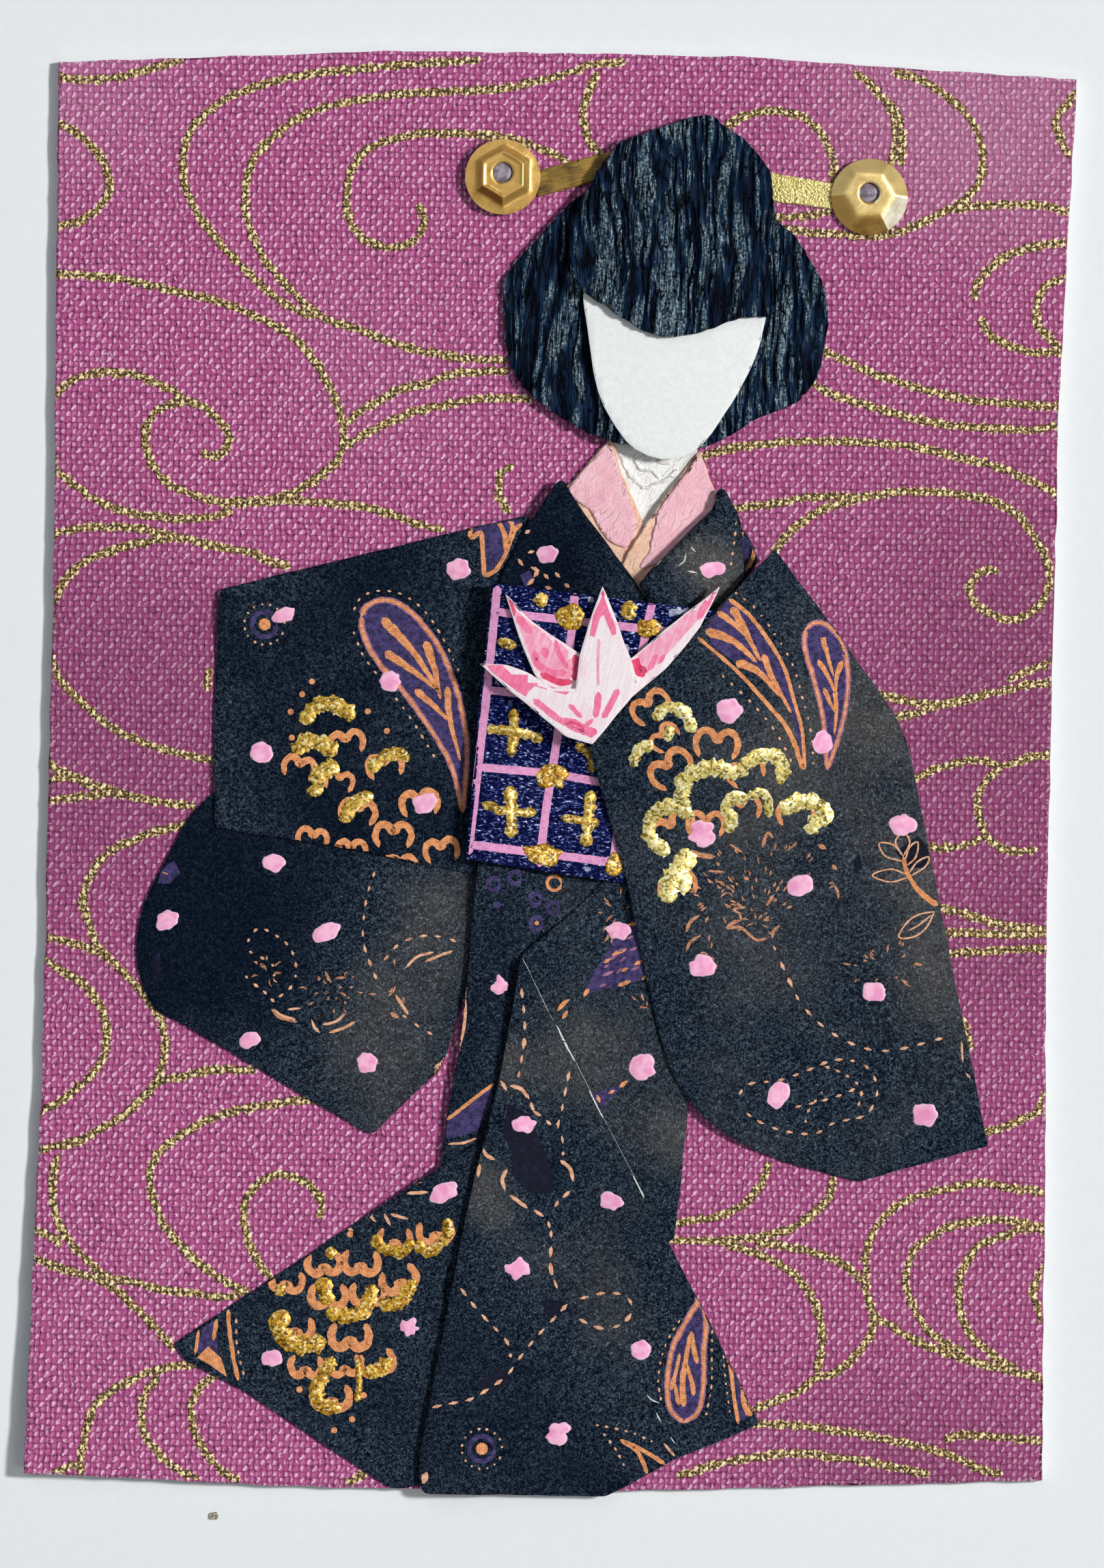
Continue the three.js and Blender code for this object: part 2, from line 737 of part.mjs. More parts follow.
// Head: bobbed back hair, blank face, then the crown with its fringe
laySheet(
  "hair_back",
  cut(hairBackBox, [
    [9, 76, 1], [0, 63, 1], [0, 50, 2], [2, 31, 2], [7, 21, 1.5], [16, 12, 1], [28, 5, 1], [36, 2],
    [61, 0, 1], [79, 12, 1], [90, 18, 1], [96, 26, 1], [99, 45, 3], [99, 61, 1.5], [91, 76, 1],
    [77, 93, 1], [68, 100], [32, 100], [22, 93],
  ]),
  crepePaper, stiffBend, hairFinish,
);
laySheet(
  "face",
  cut(faceBox, [
    [0, 80, 0.5], [4, 56, 3], [10, 29, 2], [27, 6, 1.5], [47, 0, 2], [64, 5, 1.5], [85, 32, 3],
    [96, 53, 2], [100, 70, 0.5], [96, 86, 1], [71, 100, 2], [32, 99, 2], [9, 90, 1],
  ]),
  faceCard, stiffBend, faceFinish,
);
laySheet(
  "hair_front",
  cut(hairFrontBox, [
    [7, 20, 0.1], [1, 27, 0.8], [0, 42, 1], [5, 60, 1.5], [15, 77, 1.5], [24, 87, 1], [46, 95, 1.5],
    [60, 100, 1.5], [69, 99.5], [76, 94], [84, 90], [92, 82, 0.6], [97, 75, 0.6], [100, 59, 1],
    [98, 26, 1], [97, 10, 0.1], [82, 9], [66, 3], [50, 0, 0.6], [43, 0.5, 0.4], [25, 9],
  ]),
  crepePaper, stiffBend, hairFinish,
);

// Faceted cup sequins, dome up: a raised hexagon with a hole, sloping to a round rim
function sequinGeometry(turn, flange) {
  const segments = sequinFacets * sequinSteps;
  const facetAngle = (2 * Math.PI) / sequinFacets;
  const rim = sequinDiameter / 2;
  const corner = sequinPlateau / 2;
  const hexagon = (angle) => {
    const within = (angle - turn + 1e-9) % facetAngle;
    return (corner * Math.cos(facetAngle / 2)) / Math.cos(within - facetAngle / 2);
  };
  const rings = [
    { radius: () => sequinHole / 2, height: sequinDepth, shift: sequinHoleShift },
    { radius: hexagon, height: sequinDepth, shift: sequinHoleShift / 2 },
    {
      radius: (angle) => hexagon(angle) + (rim - hexagon(angle)) * flange,
      height: sequinDepth * (1 - flange) * rimRise,
      shift: (sequinHoleShift / 2) * (1 - flange),
    },
    { radius: () => rim, height: 0, shift: 0 },
  ];
  const positions = [];
  for (const level of [0, sequinWall])
    for (const ring of rings)
      for (let s = 0; s < segments; s++) {
        const angle = turn + (s / segments) * 2 * Math.PI;
        const radius = ring.radius(angle);
        positions.push(
          radius * Math.cos(angle), radius * Math.sin(angle) + ring.shift, ring.height + level,
        );
      }
  const index = [];
  const at = (level, ring, s) => (level * rings.length + ring) * segments + (s % segments);
  for (let s = 0; s < segments; s++) {
    for (let ring = 0; ring < rings.length - 1; ring++) {
      index.push(at(1, ring, s), at(1, ring + 1, s), at(1, ring + 1, s + 1));
      index.push(at(1, ring, s), at(1, ring + 1, s + 1), at(1, ring, s + 1));
      index.push(at(0, ring, s), at(0, ring + 1, s + 1), at(0, ring + 1, s));
      index.push(at(0, ring, s), at(0, ring, s + 1), at(0, ring + 1, s + 1));
    }
    const last = rings.length - 1;
    index.push(at(0, last, s), at(0, last, s + 1), at(1, last, s + 1));
    index.push(at(0, last, s), at(1, last, s + 1), at(1, last, s));
    index.push(at(0, 0, s), at(1, 0, s + 1), at(0, 0, s + 1));
    index.push(at(0, 0, s), at(1, 0, s), at(1, 0, s + 1));
  }
  const geometry = new THREE.BufferGeometry();
  geometry.setAttribute("position", new THREE.Float32BufferAttribute(positions, 3));
  geometry.setIndex(index);
  geometry.computeVertexNormals();
  return geometry;
}

function seatSequin(name, x, y, turn, flange) {
  const rim = new THREE.EllipseCurve(x, y, sequinDiameter / 2, sequinDiameter / 2).getPoints(24);
  const heights = [...coveredPoints(rim).points.values()].map(([i, j]) => heightAt(i, j));
  const seat = Math.max(...heights);
  const geometry = sequinGeometry(turn, flange).translate(x, y, seat + glueLine);
  addPiece(name, geometry, sequinFinish);
}
const sequinRadius = sequinDiameter / 2;
seatSequin(
  "sequin_left",
  pinLeftBox.x + sequinLeftLap - sequinRadius,
  pinLeftBox.y + sequinLeftRise,
  Math.PI / 2, leftFlange,
);
seatSequin(
  "sequin_right",
  pinRightBox.right - sequinRightLap + sequinRadius,
  pinRightBox.y + sequinRightRise,
  0, rightFlange,
);

export default doll;
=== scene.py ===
import math
import random

import bmesh
import bpy
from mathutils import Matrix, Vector, noise
from mathutils.bvhtree import BVHTree


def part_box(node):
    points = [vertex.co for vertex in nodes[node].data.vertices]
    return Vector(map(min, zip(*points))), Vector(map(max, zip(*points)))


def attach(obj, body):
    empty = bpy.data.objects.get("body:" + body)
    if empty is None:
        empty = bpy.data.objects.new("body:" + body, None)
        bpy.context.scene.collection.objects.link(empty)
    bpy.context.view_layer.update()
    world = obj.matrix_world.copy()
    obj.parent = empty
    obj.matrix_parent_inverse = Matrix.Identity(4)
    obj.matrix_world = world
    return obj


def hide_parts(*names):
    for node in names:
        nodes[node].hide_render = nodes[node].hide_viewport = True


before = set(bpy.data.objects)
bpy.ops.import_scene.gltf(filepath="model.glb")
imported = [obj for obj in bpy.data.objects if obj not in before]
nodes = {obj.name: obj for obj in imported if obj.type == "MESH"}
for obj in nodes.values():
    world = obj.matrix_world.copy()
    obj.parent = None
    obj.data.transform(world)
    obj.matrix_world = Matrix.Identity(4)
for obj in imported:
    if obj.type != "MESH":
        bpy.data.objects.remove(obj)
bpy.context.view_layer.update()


# Card board: one sheet of stiff pulp board, cut by hand with a knife. It lies on the table, and its
# lower left corner has curled up. Only its pale edge shows, under the cloth.

per_metre = 1000


class Shade:
    """A socket of a shader tree. Python's own operators on it make the maths nodes."""

    def __init__(self, tree, socket=None):
        self.tree = tree
        self.socket = socket

    def node(self, kind, settings, values, out=0):
        made = self.tree.nodes.new(kind)
        for key, setting in settings.items():
            setattr(made, key, setting)
        for key, value in values.items():
            if isinstance(value, Shade):
                self.tree.links.new(value.socket, made.inputs[key])
            else:
                made.inputs[key].default_value = value
        return Shade(self.tree, made.outputs[out])

    def math(self, operation, *values):
        return self.node("ShaderNodeMath", {"operation": operation}, dict(enumerate(values)))

    def __add__(self, other):
        return self.math("ADD", self, other)

    def __sub__(self, other):
        return self.math("SUBTRACT", self, other)

    def __rsub__(self, other):
        return self.math("SUBTRACT", other, self)

    def __mul__(self, other):
        return self.math("MULTIPLY", self, other)

    def __truediv__(self, other):
        return self.math("DIVIDE", self, other)

    def __pow__(self, other):
        return self.math("POWER", self, other)


def place(s):
    """The point's own place in the object, in millimetres."""
    where = s.node("ShaderNodeTexCoord", {}, {}, "Object")
    return s.node("ShaderNodeMapping", {}, {"Vector": where, "Scale": (per_metre,) * 3})


def cloud(at, scale, detail=2.0, rough=0.5):
    """Soft noise, scale in lumps per millimetre."""
    values = {"Vector": at, "Scale": scale, "Detail": detail, "Roughness": rough}
    return at.node("ShaderNodeTexNoise", {}, values)


def fibres(at, angle, width, length):
    """Noise drawn out into short streaks that lie at an angle, sizes in millimetres."""
    values = {"Vector": at, "Rotation": (0, 0, math.radians(angle)), "Scale": (length, width, 1)}
    drawn = at.node("ShaderNodeMapping", {"vector_type": "TEXTURE"}, values)
    return cloud(drawn, 1.0, 1.5)


def rise(value, low, high):
    """0 below low, 1 above high and a smooth step between them."""
    values = {"Value": value, "From Min": low, "From Max": high}
    return value.node("ShaderNodeMapRange", {"interpolation_type": "SMOOTHSTEP"}, values)


def ink(code):
    """A colour as the screen shows it, made linear."""
    parts = [int(code[k:k + 2], 16) / 255 for k in (1, 3, 5)]
    return (*(c / 12.92 if c <= 0.04045 else ((c + 0.055) / 1.055) ** 2.4 for c in parts), 1)


def mix(first, second, share):
    """From the first colour to the second as share goes from 0 to 1."""
    a = first if isinstance(first, Shade) else ink(first)
    b = second if isinstance(second, Shade) else ink(second)
    return share.node("ShaderNodeMix", {"data_type": "RGBA"}, {0: share, 6: a, 7: b}, 2)


def bump(height, depth):
    """A bumped normal, the height's unit being depth millimetres."""
    values = {"Height": height, "Distance": depth / per_metre, "Strength": 1.0}
    return height.node("ShaderNodeBump", {}, values)


def coordinate(at, axis):
    """One coordinate of a point."""
    return at.node("ShaderNodeSeparateXYZ", {}, {"Vector": at}, axis)


def attribute(s, name):
    return s.node("ShaderNodeAttribute", {"attribute_name": name}, {}, "Fac")


shine_level = "Specular IOR Level"


def surface(colour, rough, normal, **more):
    """What a paint function returns: the values of its surface."""
    return {"Base Color": colour, "Roughness": rough, "Normal": normal, **more}


def material(name, paint):
    """A material made by a paint function."""
    made = bpy.data.materials.new(name)
    made.use_nodes = True
    made.node_tree.nodes.clear()
    s = Shade(made.node_tree)
    skin = s.node("ShaderNodeBsdfPrincipled", {}, paint(s))
    output = made.node_tree.nodes.new("ShaderNodeOutputMaterial")
    made.node_tree.links.new(skin.socket, output.inputs["Surface"])
    return made


def outline_of(node):
    """The border of a CAD sheet's upper side, in millimetres, without points on straight runs."""
    same_point, steepest, straight, shortest = 1e-7, 0.3, 0.006, 0.02
    bm = bmesh.new()
    bm.from_mesh(nodes[node].data)
    bmesh.ops.remove_doubles(bm, verts=bm.verts, dist=same_point)
    bm.normal_update()
    upper = {f for f in bm.faces if f.normal.z > steepest}
    follow = {}
    for edge in bm.edges:
        inside = [f for f in edge.link_faces if f in upper]
        if len(inside) == 1:
            loop = next(corner for corner in edge.link_loops if corner.face is inside[0])
            follow[loop.vert] = loop.link_loop_next.vert
    loops = []
    while follow:
        start, at = follow.popitem()
        loop = [start]
        while at in follow:
            loop.append(at)
            at = follow.pop(at)
        loops.append([v.co.xy * per_metre for v in loop])
    bm.free()
    border = max(loops, key=lambda loop: abs(area_of(loop)))
    kept = border[:1]
    for here, after in zip(border[1:], border[2:] + border[:1]):
        along, on = here - kept[-1], after - kept[-1]
        aside = abs(along.x * on.y - along.y * on.x)
        if aside > straight * on.length or on.length < shortest:
            kept.append(here)
    return kept


def area_of(loop):
    return sum(a.x * b.y - b.x * a.y for a, b in zip(loop, loop[1:] + loop[:1])) / 2


def hand_cut(outline, sway, torn=0.0):
    """The same outline as a hand cuts it, and with a torn edge where torn is more than 0."""
    pitch, slow, ragged = 0.55, 0.6, 4
    made = []
    for a, b in zip(outline, outline[1:] + outline[:1]):
        steps = max(1, math.ceil((b - a).length / pitch))
        out = Vector((b.y - a.y, a.x - b.x)).normalized()
        for k in range(steps):
            p = a.lerp(b, k / steps)
            shift = sway * noise.noise((p.x * slow, p.y * slow, 3.7))
            shift += torn * noise.noise((p.x * ragged, p.y * ragged, 9.1))
            made.append(p + out * shift)
    return made


def divided(outline, step_x, step_y):
    """A flat face of that outline, cut into a grid, in a new bmesh."""
    same_point = 1e-4
    bm = bmesh.new()
    bm.faces.new([bm.verts.new((p.x, p.y, 0)) for p in outline])
    for axis, step in ((0, step_x), (1, step_y)):
        low = min(v.co[axis] for v in bm.verts)
        high = max(v.co[axis] for v in bm.verts)
        for k in range(math.ceil(low / step), math.floor(high / step) + 1):
            way = Vector((axis == 0, axis == 1, 0))
            everything = bm.verts[:] + bm.edges[:] + bm.faces[:]
            bmesh.ops.bisect_plane(
                bm, geom=everything, dist=same_point, plane_co=way * (k * step), plane_no=way
            )
    return bm


def tree_of(node):
    """A search tree of a CAD node, in millimetres."""
    mesh = nodes[node].data
    corners = [v.co * per_metre for v in mesh.vertices]
    return BVHTree.FromPolygons(corners, [tuple(p.vertices) for p in mesh.polygons])


beyond = 60


def level(tree, x, y, up=True):
    """The surface's height, seen from beyond it above or below, or None beside it."""
    way = Vector((0, 0, -1 if up else 1))
    hit = tree.ray_cast(Vector((x, y, 0)) - way * beyond, way)[0]
    return None if hit is None else hit.z


def soft_level(tree, x, y, reach, up=True):
    """The surface's height, averaged over a small disc, so that facets don't show. Where the
    disc misses the surface, a wider ring is tried."""
    found = []
    for radius, count in ((0, 1), (reach / 2, 6), (reach, 8), (reach * 2, 8)):
        if radius > reach and found:
            break
        for k in range(count):
            turn = 2 * math.pi * (k + radius) / count
            z = level(tree, x + radius * math.cos(turn), y + radius * math.sin(turn), up)
            if z is not None:
                found.append(z)
    return sum(found) / len(found)


tops = {}


def piece(name, bm, materials, replaced=None, sharp=38):
    """The bmesh, in millimetres, as a piece of the object that rides on its only body."""
    bmesh.ops.recalc_face_normals(bm, faces=bm.faces[:])
    for face in bm.faces:
        face.smooth = True
    for edge in bm.edges:
        if len(edge.link_faces) == 2:
            edge.smooth = edge.calc_face_angle(0) < math.radians(sharp)
    tops[name] = BVHTree.FromBMesh(bm)
    bmesh.ops.scale(bm, vec=(1 / per_metre,) * 3, verts=bm.verts[:])
    mesh = bpy.data.meshes.new(name)
    bm.to_mesh(mesh)
    bm.free()
    for one in materials:
        mesh.materials.append(one)
    made = bpy.data.objects.new(name, mesh)
    bpy.context.scene.collection.objects.link(made)
    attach(made, "root")
    if replaced:
        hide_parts(replaced)
    return made


def sheet(name, node, materials, step=(0.5, 0.5), sway=0.05, torn=0.0, rim=(0.09, 0.05),
          relief=None, wear_and_light_spots=(), reach=0.7):
    """A cut sheet that lies as its CAD node does: gridded, softly bent, with pressed edges.
    rim is the pressed edge's width and depth, relief(x, y) lifts the upper side, and the spots
    list x, y, radius, amount: above 0 a spot paints sheen and light, on some sheets with real
    wear too, and below 0 it paints shade."""
    thinnest = 0.08
    tree = tree_of(node)
    bm = divided(hand_cut(outline_of(node), sway, torn), *step)
    bmesh.ops.inset_region(
        bm, faces=bm.faces[:], thickness=rim[0], use_boundary=True, use_even_offset=False
    )
    wear_and_light = bm.verts.layers.float.new("wear_and_light")
    crest = bm.verts.layers.float.new("crest")
    bm.verts.ensure_lookup_table()
    border = {v for v in bm.verts if v.is_boundary}
    upper = bm.verts[:]
    faces = bm.faces[:]
    edges = [e for e in bm.edges if e.is_boundary]
    under = {}
    for v in upper:
        x, y = v.co.x, v.co.y
        bottom = soft_level(tree, x, y, reach, up=False)
        v.co.z = soft_level(tree, x, y, reach)
        if v in border:
            v.co.z -= rim[1]
        lift = relief(x, y) if relief else 0
        v[crest] = lift
        v.co.z = max(v.co.z + lift, bottom + thinnest)
        # Each vertex gets the sum of the spots: painted light and painted shade, with real wear on
        # some sheets.
        v[wear_and_light] = sum(
            amount * math.exp(-((x - cx) ** 2 + (y - cy) ** 2) / radius ** 2)
            for cx, cy, radius, amount in wear_and_light_spots
        )
        under[v] = bm.verts.new((x, y, bottom))
    for f in faces:
        back = bm.faces.new([under[v] for v in reversed(f.verts)])
        back.material_index = len(materials) - 1
    for e in edges:
        a, b = e.verts
        wall = bm.faces.new([a, b, under[b], under[a]])
        wall.material_index = len(materials) - 1
    return piece(name, bm, materials, node)


def paint_board(s):
    p = place(s)
    pulp = fibres(p, 20, 0.12, 0.9) * 0.5 + cloud(p, 3.0, 3.0) * 0.5
    colour = mix("#CFC9BC", "#F1EEE6", rise(pulp, 0.3, 0.7))
    return surface(colour, 0.9, bump(pulp, 0.05))


board = material("grey_white_board", paint_board)
sheet("board", "card_board", [board], step=(3, 3), sway=0.1, rim=(0.1, 0.03))


# Cloth: plain-weave quilting cotton in magenta, 72 by 67 threads to the inch, with gold lines
# printed on it. It is glued over the board and cut flush with it, so its edges fray.


def threads(p):
    """The weave at a point: its height, a painted glint on the thread crowns and a chance of each
    crossing's own.
    """
    warp_pitch, weft_pitch = 0.354, 0.38
    sway = cloud(p, 0.5, 1.0) - 0.5
    fine = cloud(p, 3.2, 3.0) - 0.5
    u = coordinate(p, "X") / warp_pitch + sway * 1.4 + fine * 0.9
    v = coordinate(p, "Y") / weft_pitch + sway * 0.7 + fine * 1.1
    column = p.math("FLOOR", u)
    row = p.math("FLOOR", v)
    across = u - column - 0.5
    along = v - row - 0.5
    over = p.math("FLOORED_MODULO", column + row, 2.0)
    cell = p.node("ShaderNodeCombineXYZ", {}, {"X": column, "Y": row})
    chance = p.node("ShaderNodeTexWhiteNoise", {"noise_dimensions": "2D"}, {"Vector": cell})
    warp = p.math("COSINE", across * math.pi)
    weft = p.math("COSINE", along * math.pi)
    raised = warp ** 0.6 * (weft * 0.5 + 0.5)
    low = weft ** 0.4 * (warp * 0.3 + 0.3)
    height = over * raised + (1.0 - over) * low
    tilt = p.math("ABSOLUTE", across - along * (chance * 0.6 - 0.1) + fine * 0.5 + 0.1)
    ends = p.math("ABSOLUTE", along + (chance - 0.5) * 0.3)
    thread_glint = (1.0 - rise(tilt, 0.07, 0.23)) * (1.0 - rise(ends, 0.22, 0.46))
    return height, thread_glint * (over * 0.75 + chance * 0.35), chance


def paint_cloth(s):
    p = place(s)
    height, thread_glint, chance = threads(p)
    shade = cloud(p, 0.12, 2.0)
    strand = fibres(p, 84, 0.06, 0.5)
    yarn = height + (strand - 0.5) * 0.7 + (cloud(p, 2.0, 2.0) - 0.5) * 0.5
    # Painted light and shade: the yarn is darkest in the gaps between threads, lighter on the
    # raised crowns, and the pale strokes are painted glints on the threads.
    colour = mix("#440C30", "#B44C88", rise(yarn, 0.05, 0.47))
    colour = mix(colour, "#CE84AC", rise(yarn * (chance * 0.4 + 0.75), 0.5, 1.05))
    colour = mix(colour, "#FACCE4", thread_glint * rise(strand, 0.1, 0.45))
    # Painted shade: the cloth turns darker towards the right and in soft patches.
    painted_cloth_shade = rise(coordinate(p, "X") + shade * 30.0, 0.0, 60.0) * 0.18 + (1.0 - shade) * 0.1
    colour = mix(colour, "#7A3A54", painted_cloth_shade)
    # Painted light and shade from the cloth's spots: darker where they are below 0, paler above.
    painted_light_level = attribute(s, "wear_and_light") + (shade - 0.5) * 0.3
    colour = mix(colour, "#5A1A42", (1.0 - rise(painted_light_level, -1.1, 0.0)) * 0.4)
    colour = mix(colour, "#DDB8CA", rise(painted_light_level, 0.0, 1.0) * 0.22)
    relief = height + strand * 0.3 + cloud(p, 11.0, 2.0) * 0.25
    return surface(colour, 0.85, bump(relief, 0.06), **{"Sheen Weight": 0.15})


def paint_thread(s):
    p = place(s)
    twist = fibres(p, 40, 0.05, 0.3)
    colour = mix("#AC6C98", "#EED0E0", rise(twist, 0.3, 0.6))
    return surface(colour, 0.85, bump(twist, 0.02))


cloth = material("magenta_cotton", paint_cloth)
thread = material("magenta_thread", paint_thread)
# The cloth's spots are painted shade at the middle of both sides and at the lower right, and
# painted light near the top corners and in a few soft places.
cloth_sheet = sheet(
    "cloth", "cloth_cover", [cloth, thread], step=(0.8, 0.8), sway=0.1,
    rim=(0.12, 0.06),
    relief=lambda x, y: 0.03 * noise.noise((x * 0.11, y * 0.11, 2.3)),
    wear_and_light_spots=((-31, 1, 15, -1.1), (-20, 4, 8, -0.4), (30, 7, 14, -1.1), (29, -12, 9, -0.6),
          (23, -46, 10, -1), (26, 42, 11, 0.7), (-30, 42, 8, 0.5), (-12, 24, 8, 0.3),
          (1, -34, 8, 0.3), (-27, -35, 8, 0.2)),
)


def spline(points, pitch):
    """Points every pitch millimetres on the smooth line through the given ones."""
    given = [Vector(p) for p in points]
    ends = [2 * given[0] - given[1]] + given + [2 * given[-1] - given[-2]]
    made = []
    for a, b, c, d in zip(ends, ends[1:], ends[2:], ends[3:]):
        steps = max(1, round((c - b).length / pitch))
        for k in range(steps):
            t = k / steps
            made.append(0.5 * (
                2 * b + (c - a) * t + (2 * a - 5 * b + 4 * c - d) * t * t
                + (3 * b - a - 3 * c + d) * t ** 3
            ))
    made.append(given[-1])
    return made


def settle(over, x, y):
    """The point of a surface under x, y, or the nearest one of its border beside it."""
    usual_height = 3
    hit = over.ray_cast(Vector((x, y, beyond)), Vector((0, 0, -1)))[0]
    if hit is None:
        hit = over.find_nearest(Vector((x, y, usual_height)))[0]
    return hit


def band(bm, over, points, width, lift=0.02, dome=0.0, columns=2, ends=(1, 1), wobble=0.0,
         slot=0, pitch=0.25, lump=0.0):
    """A closed stroke of ink, paint or thread that lies on a surface along a line. Its ends are
    round, ends are shares of its width, and lump makes thick paint uneven."""
    blunt, foot, ragged = 0.06, 0.02, 5
    line = spline(points, pitch)
    total = sum((b - a).length for a, b in zip(line, line[1:]))
    gone = 0.0
    rows = []
    for k, p in enumerate(line):
        before, after = line[max(0, k - 1)], line[min(len(line) - 1, k + 1)]
        way = (after - before).normalized()
        side = Vector((-way.y, way.x))
        if k:
            gone += (p - line[k - 1]).length
        share = gone / total
        half = width / 2 * (ends[0] + (ends[1] - ends[0]) * share)
        near = min(gone, total - gone) / max(0.01, width / 2)
        half *= math.sqrt(max(blunt, 1 - (1 - min(1, near)) ** 2))
        left = half * (1 + wobble * noise.noise((p.x * ragged, p.y * ragged, 1.3)))
        right = half * (1 + wobble * noise.noise((p.x * ragged, p.y * ragged, 8.3)))
        row = []
        for c in range(columns + 1):
            u = 2 * c / columns - 1
            at = p + side * (u * (left if u > 0 else right))
            x, y, z = settle(over, at.x, at.y)
            bulge = dome * (1 - u * u) * min(1, near + 0.3)
            bulge += lump * noise.noise((x * 6, y * 6, 5.5)) * (1 - abs(u))
            row.append(bm.verts.new((x, y, z + lift + bulge)))
        for edge in (row[-1], row[0]):
            row.append(bm.verts.new((edge.co.x, edge.co.y, edge.co.z - lift - foot)))
        rows.append(row)
    count = len(rows[0])
    made = []
    for a, b in zip(rows, rows[1:]):
        for c in range(count):
            d = (c + 1) % count
            made.append(bm.faces.new((a[c], a[d], b[d], b[c])))
    made.append(bm.faces.new(list(reversed(rows[0]))))
    made.append(bm.faces.new(rows[-1]))
    for f in made:
        f.material_index = slot


def paint_cloth_gold(s):
    p = place(s)
    height, thread_glint = threads(p)[:2]
    grain = cloud(p, 6.0, 3.0, 0.7)
    # Painted glints: the gold print turns near-white where the noise, the thread crowns and the
    # thread glints are high.
    painted_glint = rise(grain * 1.15 + height * 0.25 + thread_glint * 0.2, 0.56, 0.92)
    colour = mix("#2E1C0A", "#84622E", rise(painted_glint, 0.0, 0.45))
    colour = mix(colour, "#C2A162", rise(painted_glint, 0.42, 0.66))
    colour = mix(colour, "#F6E6B4", rise(painted_glint, 0.68, 0.9))
    return surface(colour, 0.4, bump(height * 0.6 + grain, 0.06), Metallic=0.3)


